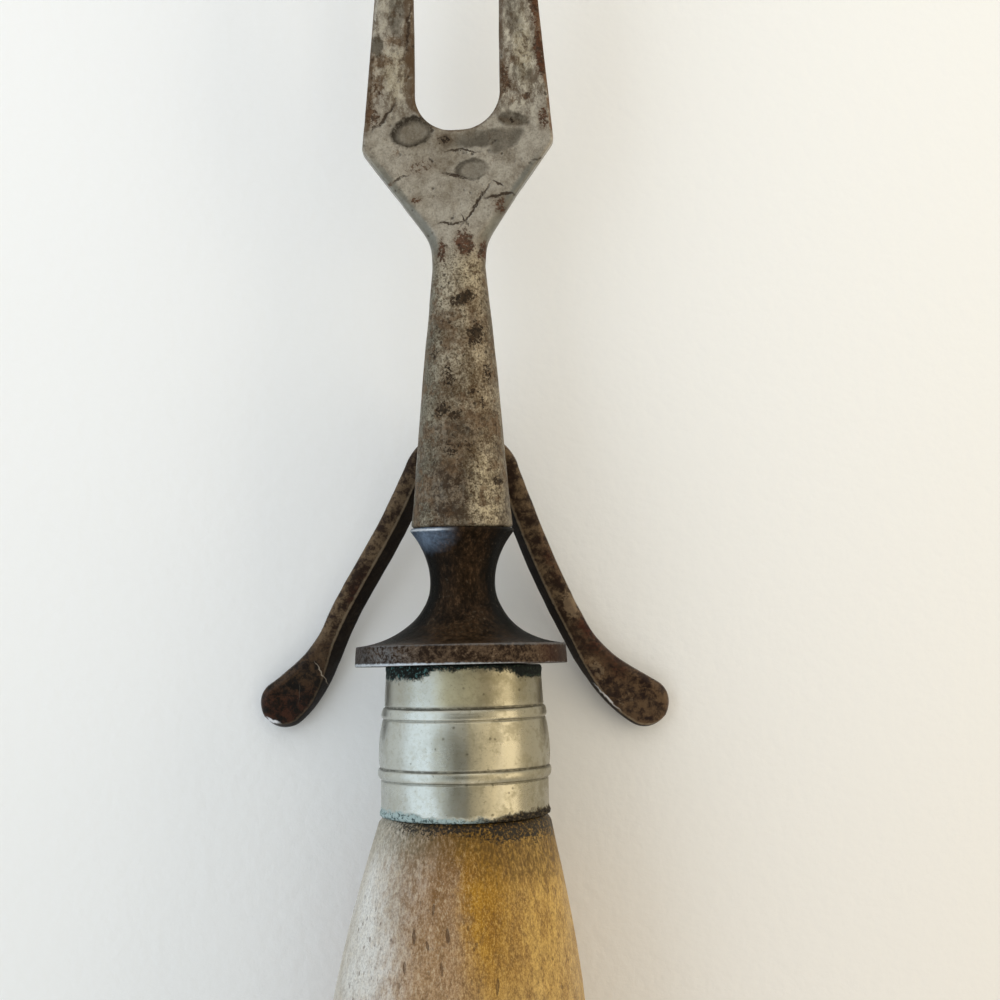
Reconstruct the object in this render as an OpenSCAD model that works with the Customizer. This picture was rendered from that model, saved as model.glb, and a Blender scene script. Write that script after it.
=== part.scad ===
// Two-tined carving fork with a folding guard and an antler handle.
// Sizes are in millimetres. X runs across the fork, Y along it to the tines, Z up.
// The fork lies face up, on the toes of its guard and the belly of its handle.

/* [Tines] */
// Length of the tines from the crotch to the points
tine_length = 88; // [60:1:105]
// Clear gap between the tines
tine_gap = 9.7; // [7:0.1:12]
// Width of each tine where it leaves the shoulder
tine_width = 6.25; // [4.5:0.05:8]
// Width of each tine at its tip before the point is ground
tip_width = 1.5; // [1:0.1:2.5]
// Length of the ground point
point_length = 22; // [10:1:35]
// Width that is left at the very point
point_width = 0.5; // [0.3:0.1:0.9]
// Thickness of the shoulder and of the tine roots
tine_thickness = 4; // [3:0.1:5]
// Thickness at the points
tip_thickness = 0.8; // [0.4:0.1:1.5]
// Rise of the points above the shoulder
tine_lift = 9; // [5:0.5:14]
// Corner radius at the bottom of the gap
crotch_radius = 3.4; // [1:0.1:3.5]
// Height of the crotch above the corners of the shoulder
crotch_rise = 2; // [0:0.1:5]

/* [Shoulder and shank] */
// Length over which the shoulder flares out
shoulder_length = 11; // [8:0.5:18]
// Radius of the fillet between the shank and the shoulder
shoulder_fillet = 4.8; // [2:0.1:6]
// Length of the flattened web below the flare
web_length = 3; // [2:0.1:6]
// Length of the round shank above the bolster
shank_length = 29.8; // [26:0.1:45]
// Diameter of the shank at the bolster
shank_root_diameter = 11.5; // [10:0.1:14]
// Diameter of the shank at its thin end
shank_tip_diameter = 6.2; // [5:0.1:7]

/* [Bolster] */
// Height of the bolster from the underside of its flange
bolster_height = 15.7; // [13:0.1:20]
// Diameter of the collar under the shank
collar_diameter = 12.1; // [10.5:0.1:15]
// Height of the plain band on the collar
collar_band = 0.9; // [0.8:0.1:2]
// Diameter of the neck at the bottom of the cove
neck_diameter = 7.6; // [7:0.1:9]
// Height of the narrowest place above the underside
neck_height = 9.4; // [7:0.1:11]
// Diameter of the flange
flange_diameter = 24.4; // [21:0.1:28]
// Thickness of the flange at its rim
flange_thickness = 2.3; // [1.5:0.1:3]

/* [Ferrule] */
// Length of the ferrule
ferrule_length = 17; // [14:0.5:24]
// Diameter of the ferrule under the flange
ferrule_top_diameter = 17.7; // [16:0.1:20]
// Diameter of the ferrule at its end on the handle
ferrule_end_diameter = 19.3; // [17:0.1:21]
// Thickness of the tube
ferrule_wall = 0.6; // [0.4:0.05:1]
// Place of the upper bead below the flange
upper_bead = 5.3; // [4:0.1:6.5]
// Place of the lower bead below the flange
lower_bead = 12.2; // [10:0.1:13]
// Width of a bead
bead_width = 1.5; // [1:0.1:2]
// Height of a bead
bead_height = 0.3; // [0.15:0.05:0.5]

/* [Handle] */
// Length of the handle beyond the ferrule
handle_length = 104; // [90:1:120]
// Step from the ferrule up to the antler
handle_step = 0.05; // [0:0.05:1]
// Width of the handle at its belly
belly_width = 31.4; // [26:0.1:34]
// Height of the handle at its belly
belly_height = 27.2; // [26.4:0.1:32]
// Distance of the belly from the ferrule
belly_distance = 36; // [28:1:50]
// Width of the handle just before its butt
butt_width = 28; // [22:0.1:32]
// Length of the rounded butt
butt_round = 8; // [5:0.5:16]
// Sideways bend of the antler at the butt
handle_bend = 3; // [0:0.1:4]

/* [Tang] */
// Length of the tang below the flange
tang_length = 70; // [40:1:80]
// Diameter of the tang inside the bolster
tang_root_diameter = 5.2; // [4.5:0.1:5.6]
// Width of the tang at its end
tang_end_width = 2; // [1.2:0.1:2.6]
// Diameter of the bore in the handle
bore_diameter = 7; // [6.4:0.1:8]
// Depth of the bore beyond the end of the tang
bore_room = 2; // [0.5:0.1:5]

/* [Guard] */
// Height of the pin above the bolster
pin_height = 15.3; // [14:0.1:18]
// Distance of the pin behind the axis of the fork
pin_depth = 2; // [1.6:0.1:2.4]
// Diameter of the pin
pin_diameter = 1.8; // [1.4:0.1:2.2]
// Width of the hinge tongue
tongue_width = 2.3; // [1.8:0.1:2.8]
// Radius of the tongue round the pin
knuckle_radius = 1.9; // [1.7:0.1:2.1]
// Width of the arms
arm_width = 3.4; // [2.4:0.1:4]
// Thickness of the arms at the arch
arm_thickness = 2.4; // [1.8:0.1:3]
// Thickness of the toes
toe_thickness = 2; // [1.4:0.1:2.6]
// Width of the sloping inner face of the arms
arm_slope = 1; // [0.3:0.1:1.3]
// Radius of the arch behind the shank
arch_radius = 5; // [3.8:0.1:6]
// Angle of the legs to the axis of the fork
leg_angle = 24.5; // [20:0.5:32]
// Length of the straight legs
leg_length = 22.1; // [18:0.1:30]
// Radius of the outward bend above the toes
toe_bend = 20.5; // [14:0.5:28]
// Angle of the toes to the axis of the fork
toe_angle = 57; // [40:1:65]
// Radius of the rounded toes
toe_radius = 2.9; // [2.2:0.05:4.5]
// Sideways set of the legs, left one out and right one in
leg_set = 0.9; // [0:0.1:1.2]
// Wave in the left leg, in above its middle and out below
leg_wave = 0.5; // [0:0.1:0.8]
// Angle through which the guard swings open
guard_swing = 79; // [45:1:80]

/* [Edges] */
// Broken edge of the turned pieces
edge_break = 0.3; // [0.1:0.05:0.5]
// Broken edge of the guard
arm_break = 0.4; // [0.2:0.05:0.6]

/* [Clearances] */
// Clearance of the tongue in its slot, on each side
tongue_clearance = 0.15; // [0.08:0.01:0.3]
// Clearance of the pin in the tongue, on the radius
pin_clearance = 0.05; // [0.02:0.01:0.09]
// Clearance between the guard and the back of the shank
guard_clearance = 0.1; // [0.1:0.05:0.6]
// Clearance of the arch past the shank when the guard swings
arch_clearance = 0.9; // [0.6:0.1:1.5]
// Free length left at each end of the slot
slot_clearance = 0.6; // [0.4:0.1:1.2]
// Gap of the brazed and cemented joints
joint_gap = 0.05; // [0.02:0.01:0.1]
// Gap between the handle and the flange
seat_gap = 0.3; // [0.1:0.05:0.6]
// Slack of the tang in the bore of the bolster
tang_slack = 0.1; // [0.05:0.01:0.3]
// Clearance of the tongue above the floor of its slot
floor_clearance = 0.3; // [0.2:0.05:0.6]

/* [Hidden] */
big = 2 * (tine_length + shoulder_length);
overlap = shank_tip_diameter / 4;

// Heights along the fork, from the underside of the flange
web_y = bolster_height + shank_length;
flare_y = web_y + web_length;
corner_y = flare_y + shoulder_length;
crotch_y = corner_y + crotch_rise;
tip_y = crotch_y + tine_length;
butt_y = -ferrule_length - handle_length;
pin_y = bolster_height + pin_height;

// Half widths of the tines and shoulder
gap_half = tine_gap / 2;
shoulder_half = gap_half + tine_width;
tip_half = gap_half + tip_width;
web_half = shank_tip_diameter / 2;
web_root = web_y - 2 * overlap;

// Outer edges of the tines: arcs that run out parallel to the axis at the tips
edge_in = shoulder_half - tip_half;
edge_run = tip_y - corner_y;
edge_radius = (edge_run * edge_run + edge_in * edge_in) / (2 * edge_in);

// Front and back of the tines: two arcs that close in on each other
front_rise = tine_lift + tip_thickness / 2 - tine_thickness / 2;
back_rise = tine_lift - tip_thickness / 2 + tine_thickness / 2;
front_radius = (tine_length * tine_length + front_rise * front_rise) / (2 * front_rise);
back_radius = (tine_length * tine_length + back_rise * back_rise) / (2 * back_rise);

// Radius of the shank at a height
shank_taper = (shank_root_diameter - shank_tip_diameter) / 2 / shank_length;
function shank_radius(y) = shank_root_diameter / 2 - shank_taper * (y - bolster_height);

// Tang: the largest square that passes the bore of the bolster
tang_width = tang_root_diameter / sqrt(2) - tang_slack;
bore_depth = tang_length + bore_room;

// Bolster: quarter ellipse below the neck, arc above it
neck_r = neck_diameter / 2;
flange_r = flange_diameter / 2;
collar_r = collar_diameter / 2;
cove_a = (flange_r - neck_r) * 1.1;
cove_end = acos(1 - (flange_r - neck_r) / cove_a);
cove_b = (neck_height - flange_thickness) / sin(cove_end);
cove_top = bolster_height - collar_band - neck_height;
cove_in = collar_r - neck_r;
cove_radius = (cove_top * cove_top + cove_in * cove_in) / (2 * cove_in);
cove_turn = asin(cove_top / cove_radius);

// Ferrule and the spigot inside it
ferrule_top_r = ferrule_top_diameter / 2;
ferrule_end_r = ferrule_end_diameter / 2;
upper_r = ferrule_top_r + 0.4 * (ferrule_end_r - ferrule_top_r);
lower_r = ferrule_end_r + bead_height / 3;
bead_r = (bead_width * bead_width / 4 + bead_height * bead_height) / (2 * bead_height);

// Guard, in a plane of its own below the pin: x across, v down from the pin
pin_r = pin_diameter / 2;
back_at_pin = shank_radius(pin_y) - pin_depth;
plane_drop = back_at_pin + guard_clearance + arm_thickness / 2;
arch_v = back_at_pin + arch_clearance + arm_width / 2;
arch_end_x = arch_radius * cos(leg_angle);
arch_end_v = arch_v + arch_radius * (1 - sin(leg_angle));
leg_end_x = arch_end_x + leg_length * sin(leg_angle);
leg_end_v = arch_end_v + leg_length * cos(leg_angle);
toe_v = leg_end_v + toe_bend * (sin(toe_angle) - sin(leg_angle));
toe_reach = toe_v + toe_radius;
toe_drop = plane_drop + toe_thickness / 2;
rest_drop = belly_height / 2;

// Droop of the folded guard: its toes stand level with the belly of the handle
toe_far = sqrt(toe_reach * toe_reach + toe_drop * toe_drop);
droop = asin((rest_drop - pin_depth) / toe_far) - atan2(toe_drop, toe_reach);
tongue_length = sqrt(arch_v * arch_v + plane_drop * plane_drop);
tongue_tilt = atan2(plane_drop, arch_v);
tongue_thickness = 1.5 * knuckle_radius;
rest_angle = tongue_tilt + droop;
open_angle = rest_angle + guard_swing;
slot_back = back_at_pin / tan(rest_angle) + tongue_thickness / 2 / sin(rest_angle) + slot_clearance;
slot_front = max(-back_at_pin / tan(open_angle) + tongue_thickness / 2 / sin(open_angle),
    knuckle_radius) + slot_clearance;

function ease(t) = t * t * (3 - 2 * t);

module place() {
    translate([0, -(tip_y + butt_y) / 2, rest_drop]) children();
}

// A profile of radius and height turned about the axis of the fork
module turned() {
    rotate([-90, 0, 0]) rotate_extrude($fn = 96) children();
}

// A bar across the fork on the axis of the pin
module across(r, w) {
    translate([0, pin_y, -pin_depth]) rotate([0, 90, 0])
        cylinder(r = r, h = w, center = true, $fn = 48);
}

// A fillet of radius r in the corner at v between the ways to a and b
module fillet(a, v, b, r) {
    ua = (a - v) / norm(a - v);
    ub = (b - v) / norm(b - v);
    half = acos(ua * ub) / 2;
    mid = (ua + ub) / norm(ua + ub);
    run = r / tan(half);
    difference() {
        polygon([v - mid * overlap / 2, v + ua * run, v + ub * run]);
        translate(v + mid * (r / sin(half))) circle(r = r, $fn = 96);
    }
}

// Right-hand outline of the shoulder and tine, from the web up to the point
function outer_edge(y) = tip_half + edge_radius
    - sqrt(edge_radius * edge_radius - (tip_y - y) * (tip_y - y));
half_plan = concat(
    [[0, web_root], [web_half, web_root], [web_half, flare_y]],
    [for (i = [0:20]) let (y = corner_y + (tip_y - corner_y) * i / 20) [outer_edge(y), y]],
    [[tip_half - point_width, tip_y], [gap_half, tip_y - point_length],
        [gap_half, crotch_y + crotch_radius]],
    [for (i = [1:10]) [gap_half - crotch_radius * (1 - cos(9 * i)),
        crotch_y + crotch_radius * (1 - sin(9 * i))]],
    [[0, crotch_y]]);

// Plan of the shoulder and tines
module plan() {
    polygon(concat(half_plan, [for (i = [len(half_plan) - 2:-1:1]) [-half_plan[i][0], half_plan[i][1]]]));
    for (side = [-1, 1])
        fillet([side * web_half, web_root], [side * web_half, flare_y],
            [side * shoulder_half, corner_y], shoulder_fillet);
}

// Rise of an arc of radius r at a distance d from where it starts level
function arc_rise(r, d) = r - sqrt(r * r - d * d);

// Side view of the shoulder and tines, as length and height
module side_view() {
    polygon(concat(
        [[web_root, tine_thickness / 2], [web_root, -tine_thickness / 2]],
        [for (i = [0:20]) let (d = tine_length * i / 20)
            [crotch_y + d, arc_rise(back_radius, d) - tine_thickness / 2]],
        [for (i = [20:-1:0]) let (d = tine_length * i / 20)
            [crotch_y + d, arc_rise(front_radius, d) + tine_thickness / 2]]));
}

// Round shank, with a nose that dies into the flat web
module shank() {
    nose = 1.9 * web_half;
    turned() polygon(concat(
        [[0, bolster_height], [shank_root_diameter / 2 - edge_break, bolster_height],
            [shank_root_diameter / 2, bolster_height + edge_break]],
        [for (i = [0:10]) [web_half * cos(9 * i), web_y + nose * sin(9 * i)]]));
}

module fork() {
    color([0.52, 0.5, 0.45]) place() difference() {
        union() {
            shank();
            intersection() {
                translate([0, 0, -big / 2]) linear_extrude(height = big) plan();
                rotate([90, 0, 90]) linear_extrude(height = big, center = true) side_view();
            }
            turned() square([tang_root_diameter / 2, bolster_height + overlap]);
            rotate([90, 0, 0])
                linear_extrude(height = tang_length, scale = tang_end_width / tang_width)
                    square(tang_width, center = true);
        }
        translate([-tongue_width / 2 - tongue_clearance, pin_y - slot_back, -big])
            cube([tongue_width + 2 * tongue_clearance, slot_back + slot_front,
                big - pin_depth + knuckle_radius + floor_clearance]);
        across(pin_r, big);
    }
}

module bolster() {
    color([0.2, 0.17, 0.13]) place() turned() difference() {
        polygon(concat(
            [[0, 0], [flange_r - edge_break, 0], [flange_r, edge_break],
                [flange_r, flange_thickness - edge_break]],
            [for (i = [0:16]) let (a = cove_end * (1 - i / 16))
                [neck_r + cove_a * (1 - cos(a)) - (i == 0 ? edge_break : 0),
                    neck_height - cove_b * sin(a)]],
            [for (i = [1:10]) let (a = cove_turn * i / 10)
                [neck_r + cove_radius * (1 - cos(a)), neck_height + cove_radius * sin(a)]],
            [[collar_r, bolster_height - edge_break], [collar_r - edge_break, bolster_height],
                [0, bolster_height]]));
        translate([0, -overlap])
            square([tang_root_diameter / 2 + joint_gap, bolster_height + 2 * overlap]);
    }
}

// Stations along an arm of the guard: x, v, heading, and how far along the toe bend
arm = concat(
    [for (i = [0:8]) let (a = (90 - leg_angle) * i / 8)
        [arch_radius * sin(a), arch_v + arch_radius * (1 - cos(a)), 90 - a, 0]],
    [for (i = [1:7]) let (l = leg_length * i / 7)
        [arch_end_x + l * sin(leg_angle), arch_end_v + l * cos(leg_angle), leg_angle, 0]],
    [for (i = [1:9]) let (h = leg_angle + (toe_angle - leg_angle) * i / 9)
        [leg_end_x + toe_bend * (cos(leg_angle) - cos(h)),
            leg_end_v + toe_bend * (sin(h) - sin(leg_angle)), h, i / 9]]);

// Points round the bar at a station, with a slope on the inner side of its face
function section(x, v, h, half, t, slope) = let (
        e = [cos(h), sin(h), 0],
        c = min(arm_break, half * 0.3),
        s = min(slope, half * 0.4),
        d = min(1.4 * slope, t * 0.6, half * 0.5))
    [for (p = [[half, c - t / 2], [half, t / 2 - c], [half - c, t / 2], [s - half, t / 2],
            [-half, t / 2 - d], [-half, c - t / 2], [c - half, -t / 2], [half - c, -t / 2]])
        [x, -v, -plane_drop] + e * p[0] + [0, 0, p[1]]];

// How far a station lies down a leg, and the shift of the leg out from its plain line there
function down_leg(v) = min(1, max(0, (v - arch_end_v) / (toe_v - arch_end_v)));
function shift_of(side, t) = side > 0 ? -leg_set * sin(180 * t)
    : leg_set * sin(180 * t) - leg_wave * sin(360 * t);

// All sections of an arm: the stations, then the rounded end of the toe
function arm_sections(side) = let (end = arm[len(arm) - 1])
    concat(
        [for (p = arm) section(p[0] + shift_of(side, down_leg(p[1])), p[1], p[2],
            arm_width / 2 + (toe_radius - arm_width / 2) * ease(p[3]),
            arm_thickness + (toe_thickness - arm_thickness) * p[3],
            arm_slope * (1 - 0.7 * ease(p[3])))],
        [for (a = [15:12:87]) section(end[0] + toe_radius * sin(a) * sin(toe_angle),
            end[1] + toe_radius * sin(a) * cos(toe_angle), toe_angle,
            toe_radius * cos(a), toe_thickness, 0.3 * arm_slope)]);

// Right arm as it is, left arm mirrored, joined into one bar from toe to toe
module wishbone() {
    right = arm_sections(1);
    left = arm_sections(-1);
    n = len(right);
    rings = concat(
        [for (i = [n - 1:-1:1]) [for (p = left[i]) [-p[0], p[1], p[2]]]],
        right);
    m = len(rings);
    k = len(rings[0]);
    polyhedron(
        points = [for (r = rings) for (p = r) p],
        faces = concat(
            [[for (j = [0:k - 1]) j]],
            [[for (j = [k - 1:-1:0]) (m - 1) * k + j]],
            [for (i = [0:m - 2]) for (j = [0:k - 1])
                [i * k + j, (i + 1) * k + j, (i + 1) * k + (j + 1) % k]],
            [for (i = [0:m - 2]) for (j = [0:k - 1])
                [i * k + j, (i + 1) * k + (j + 1) % k, i * k + (j + 1) % k]]));
}

module guard() {
    color([0.3, 0.22, 0.16]) place() translate([0, pin_y, -pin_depth]) rotate([droop, 0, 0])
        difference() {
            union() {
                wishbone();
                rotate([0, 90, 0])
                    cylinder(r = knuckle_radius, h = tongue_width, center = true, $fn = 48);
                rotate([tongue_tilt, 0, 0])
                    translate([-tongue_width / 2, -tongue_length, -tongue_thickness / 2])
                        cube([tongue_width, tongue_length, tongue_thickness]);
            }
            rotate([0, 90, 0]) cylinder(r = pin_r + pin_clearance, h = big, center = true, $fn = 48);
        }
}

module guard_pin() {
    color([0.35, 0.32, 0.28]) place() intersection() {
        across(pin_r, big);
        shank();
    }
}

// Radius of the plain ferrule at a distance d below the flange, and height of a bead on it
function tube_radius(d) = d < upper_bead ? ferrule_top_r + (upper_r - ferrule_top_r) * d / upper_bead
    : d < lower_bead ? upper_r + (lower_r - upper_r) * sin(90 * (d - upper_bead) / (lower_bead - upper_bead))
    : max(ferrule_end_r, lower_r - (lower_r - ferrule_end_r) * (d - lower_bead) / bead_width * 2);
function bead(x) = sqrt(bead_r * bead_r - x * x) - bead_r + bead_height;

module ferrule() {
    color([0.72, 0.71, 0.64]) place() turned() polygon(concat(
        [[ferrule_top_r - ferrule_wall, 0], [ferrule_top_r, 0]],
        [for (i = [-5:5]) let (x = bead_width * i / 10)
            [tube_radius(upper_bead + x) + bead(x), -upper_bead - x]],
        [for (i = [1:7]) let (d = upper_bead + bead_width / 2
            + (lower_bead - upper_bead - bead_width) * i / 8) [tube_radius(d), -d]],
        [for (i = [-5:5]) let (x = bead_width * i / 10)
            [tube_radius(lower_bead + x) + bead(x), -lower_bead - x]],
        [[ferrule_end_r, -ferrule_length], [ferrule_end_r - ferrule_wall, -ferrule_length]]));
}

// Half section of the spigot inside the ferrule, which runs on a little into the antler
spigot_taper = (ferrule_end_r - ferrule_top_r) / ferrule_length;
module spigot() {
    r = ferrule_top_r - ferrule_wall - joint_gap;
    sunk = ferrule_length + overlap;
    polygon([[0, -seat_gap], [r + spigot_taper * seat_gap, -seat_gap],
        [r + spigot_taper * sunk, -sunk], [0, -sunk]]);
}

// Half width of the antler at a distance d from the ferrule, for a belly half width b
neck_half = ferrule_end_r + handle_step;
function antler(d, b) = d < belly_distance
    ? neck_half + (b - neck_half) * sin(90 * d / belly_distance)
    : b - b * (1 - butt_width / belly_width) * ease((d - belly_distance) / (handle_length - belly_distance));
function butt(d) = d < handle_length - butt_round ? 1
    : sqrt(max(0, 1 - pow((d - handle_length + butt_round) / butt_round, 2)));

function bend_at(d) = -handle_bend * sin(90 * d / handle_length);

module antler_body() {
    sides = 32;
    ways = concat(
        [for (i = [0:11]) belly_distance * i / 11],
        [for (i = [1:9]) belly_distance + (handle_length - butt_round - belly_distance) * i / 9],
        [for (a = [15:12:87]) handle_length - butt_round + butt_round * sin(a)]);
    n = len(ways);
    last = (n - 1) * sides;
    grow = 1 / cos(180 / sides);
    function ring(d) = [for (j = [0:sides - 1]) let (a = 360 * (j + 0.5) / sides) [
        bend_at(d) + grow * antler(d, belly_width / 2) * butt(d) * cos(a),
        -ferrule_length - d,
        grow * antler(d, belly_height / 2) * butt(d) * sin(a)]];
    polyhedron(
        points = concat(
            [for (d = ways) each ring(d)],
            [[bend_at(0), -ferrule_length, 0], [bend_at(handle_length), butt_y, 0]]),
        faces = concat(
            [for (j = [0:sides - 1]) [n * sides, j, (j + 1) % sides]],
            [for (j = [0:sides - 1]) [n * sides + 1, last + (j + 1) % sides, last + j]],
            [for (i = [0:n - 2]) for (j = [0:sides - 1])
                [i * sides + j, (i + 1) * sides + (j + 1) % sides, i * sides + (j + 1) % sides]],
            [for (i = [0:n - 2]) for (j = [0:sides - 1])
                [i * sides + j, (i + 1) * sides + j, (i + 1) * sides + (j + 1) % sides]]));
}

module handle() {
    color([0.66, 0.52, 0.32]) place() difference() {
        union() {
            antler_body();
            turned() spigot();
        }
        turned() translate([0, -bore_depth]) square([bore_diameter / 2, bore_depth + overlap]);
    }
}

module tang_cement() {
    color([0.25, 0.15, 0.08]) place() difference() {
        turned() translate([0, -bore_depth]) square([bore_diameter / 2, bore_depth - seat_gap]);
        rotate([90, 0, 0])
            linear_extrude(height = tang_length, scale = tang_end_width / tang_width)
                square(tang_width, center = true);
    }
}

fork();
bolster();
guard();
guard_pin();
ferrule();
handle();
tang_cement();
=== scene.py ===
import math
import bpy
import numpy as np
from mathutils import Matrix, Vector
from types import SimpleNamespace


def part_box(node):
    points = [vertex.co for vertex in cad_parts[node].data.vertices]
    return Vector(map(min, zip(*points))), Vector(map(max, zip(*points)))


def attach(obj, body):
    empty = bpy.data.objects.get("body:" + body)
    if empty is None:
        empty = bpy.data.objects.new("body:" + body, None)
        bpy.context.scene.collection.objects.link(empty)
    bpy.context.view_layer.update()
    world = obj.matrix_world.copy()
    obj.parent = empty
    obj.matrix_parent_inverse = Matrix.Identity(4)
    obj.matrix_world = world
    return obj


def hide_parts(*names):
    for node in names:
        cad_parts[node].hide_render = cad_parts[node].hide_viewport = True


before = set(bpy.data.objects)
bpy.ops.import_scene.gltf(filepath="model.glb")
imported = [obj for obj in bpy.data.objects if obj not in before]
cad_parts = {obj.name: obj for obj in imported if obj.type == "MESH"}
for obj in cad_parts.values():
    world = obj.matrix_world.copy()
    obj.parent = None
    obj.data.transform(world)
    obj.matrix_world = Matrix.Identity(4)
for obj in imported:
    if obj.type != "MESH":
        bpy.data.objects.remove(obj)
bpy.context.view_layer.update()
mm = 0.001
flangeLow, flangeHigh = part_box("bolster")
zeroY = flangeLow.y / mm  # underside of the flange: lengths along the fork count from it
axisZ = (flangeLow.z + flangeHigh.z) / 2 / mm  # height of the fork's axis above the floor
print("frame loaded, axis at", round(zeroY, 3), round(axisZ, 3), "mm")


# shaders: a wire is a socket, and sums of wires add Math nodes
class Wire:
    def __init__(self, tree, socket=None):
        self.tree = tree
        self.socket = socket

    # a new node of a kind, its settings, the values or wires of its sockets, and the output to go on from
    def node(self, kind, settings, sockets, out=0):
        made = self.tree.nodes.new("ShaderNode" + kind)
        for key, value in settings.items():
            setattr(made, key, value)
        for key, value in sockets.items():
            plug = made.inputs[key] if isinstance(key, int) else next(
                s for s in made.inputs if key in (s.identifier, s.name))
            if isinstance(value, Wire):
                self.tree.links.new(value.socket, plug)
            else:
                plug.default_value = value
        if isinstance(out, str):
            return Wire(self.tree, next(s for s in made.outputs if out in (s.identifier, s.name)))
        return Wire(self.tree, made.outputs[out] if made.outputs else None)

    def calc(self, operation, first, second=0.0):
        return self.node("Math", {"operation": operation}, {0: first, 1: second})

    def __add__(self, other):
        return self.calc("ADD", self, other)

    def __sub__(self, other):
        return self.calc("SUBTRACT", self, other)

    def __rsub__(self, other):
        return self.calc("SUBTRACT", other, self)

    def __mul__(self, other):
        return self.calc("MULTIPLY", self, other)

    def __truediv__(self, other):
        return self.calc("DIVIDE", self, other)

    def __rtruediv__(self, other):
        return self.calc("DIVIDE", other, self)

    def __abs__(self):
        return self.calc("ABSOLUTE", self)

    __radd__ = __add__
    __rmul__ = __mul__

    def most(self, other):
        return self.calc("MAXIMUM", self, other)

    def least(self, other):
        return self.calc("MINIMUM", self, other)

    # 0 below low, 1 above high, eased between them
    def step(self, low, high, start=0.0, end=1.0):
        return self.node("MapRange", {"interpolation_type": "SMOOTHSTEP"},
                         {"Value": self, "From Min": low, "From Max": high, "To Min": start, "To Max": end})

    # 1 below low, 0 above high
    def fade(self, low, high):
        return self.step(low, high, 1.0, 0.0)

    def stretch(self, x, y, z):
        return self.node("VectorMath", {"operation": "MULTIPLY"}, {0: self, 1: (x, y, z)})

    def push(self, other):
        return self.node("VectorMath", {"operation": "ADD"}, {0: self, 1: other})

    # noise with features about size mm across
    def cloud(self, size, detail=4.0, rough=0.55):
        return self.node("TexNoise", {}, {"Vector": self, "Scale": 1 / size, "Detail": detail,
                                          "Roughness": rough})

    # distance to the nearest of scattered points, which lie about size mm apart
    def cells(self, size):
        return self.node("TexVoronoi", {"feature": "F1"}, {"Vector": self, "Scale": 1 / size}, "Distance")

    # 1 inside an oval at centre with half lengths across, turned in plan, and 0 outside;
    # edge is how soft its outline is
    def oval(self, centre, across, turn, edge):
        moved = self.node("Mapping", {"vector_type": "TEXTURE"},
                          {"Vector": self, "Location": centre, "Rotation": (0, 0, math.radians(turn)),
                           "Scale": across})
        far = self.node("VectorMath", {"operation": "LENGTH"}, {0: moved}, "Value")
        return far.fade(1 - edge, 1 + edge)

    def part(self, axis):
        return self.node("SeparateXYZ", {}, {0: self}, axis)

    def mark(self, name):
        return self.node("Attribute", {"attribute_name": name}, {}, "Fac")

    # places shifted by up to reach mm, so that edges drawn from them run ragged
    def wander(self, size, reach):
        noise = self.node("TexNoise", {}, {"Vector": self, "Scale": 1 / size, "Detail": 4.0}, "Color")
        shift = self.node("VectorMath", {"operation": "MULTIPLY_ADD"},
                          {0: noise, 1: [2 * reach] * 3, 2: [-reach] * 3})
        return self.push(shift)

    # the most of several ovals, each given as centre, half lengths, turn and strength
    def marks(self, rows, edge):
        total = None
        for centre, across, turn, strength in rows:
            spot = strength * self.oval(centre, across, turn, edge)
            total = spot if total is None else total.most(spot)
        return total

    # the first colour where share is 0, the second where it is 1
    def blend(self, share, first, second):
        return self.node("Mix", {"data_type": "RGBA", "clamp_factor": True},
                         {"Factor_Float": share, "A_Color": first, "B_Color": second}, "Result_Color")

    # this colour with another laid over it by share; the other is a wire or three screen values
    def coat(self, share, cover):
        return self.blend(share, self, cover if isinstance(cover, Wire) else tone(*cover))

    # one tone below low, another above high, both in screen values
    def shades(self, low, high, first, second):
        return self.blend(self.step(low, high), tone(*first), tone(*second))


def tone(red, green, blue):
    # screen colour 0 to 255 as a linear colour with alpha
    c = np.array([red, green, blue]) / 255
    return (*np.where(c <= 0.04045, c / 12.92, ((c + 0.055) / 1.055) ** 2.4).tolist(), 1.0)


def emptyNodes(owner):
    # a wire to make the nodes of a material or world with
    owner.use_nodes = True
    owner.node_tree.nodes.clear()
    return Wire(owner.node_tree)


def startPaint(name):
    # a new material, a wire to make its nodes with, and the place on the fork
    material = bpy.data.materials.new(name)
    root = emptyNodes(material)
    spot = root.node("TexCoord", {}, {}, "Object")
    scaled = root.node("VectorMath", {"operation": "SCALE"}, {0: spot, "Scale": 1 / mm})
    return material, root, scaled.push((0, -zeroY, -axisZ))  # mm from the flange and the axis


def endPaint(root, height, strength, sockets):
    # height is the relief in mm, strength how much of it shows
    normal = root.node("Bump", {}, {"Strength": strength, "Distance": mm, "Height": height})
    shader = root.node("BsdfPrincipled", {}, {**sockets, "Normal": normal})
    root.node("OutputMaterial", {}, {"Surface": shader})


# surfaces
def ease(t):
    # 0 up to 0, 1 from 1 on, a smooth S between
    t = np.clip(t, 0, 1)
    return t * t * (3 - 2 * t)


def easeOver(value, start, run):
    # eased from 0 at start to 1 a run further on
    return ease((value - start) / run)


def softMax(a, b, k):
    # the larger of two lines, with the corner between them rounded over about k
    return k * np.logaddexp(a / k, b / k)


def softMin(a, b, k):
    # the smaller, rounded in the same way
    return -softMax(-a, -b, k)


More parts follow.
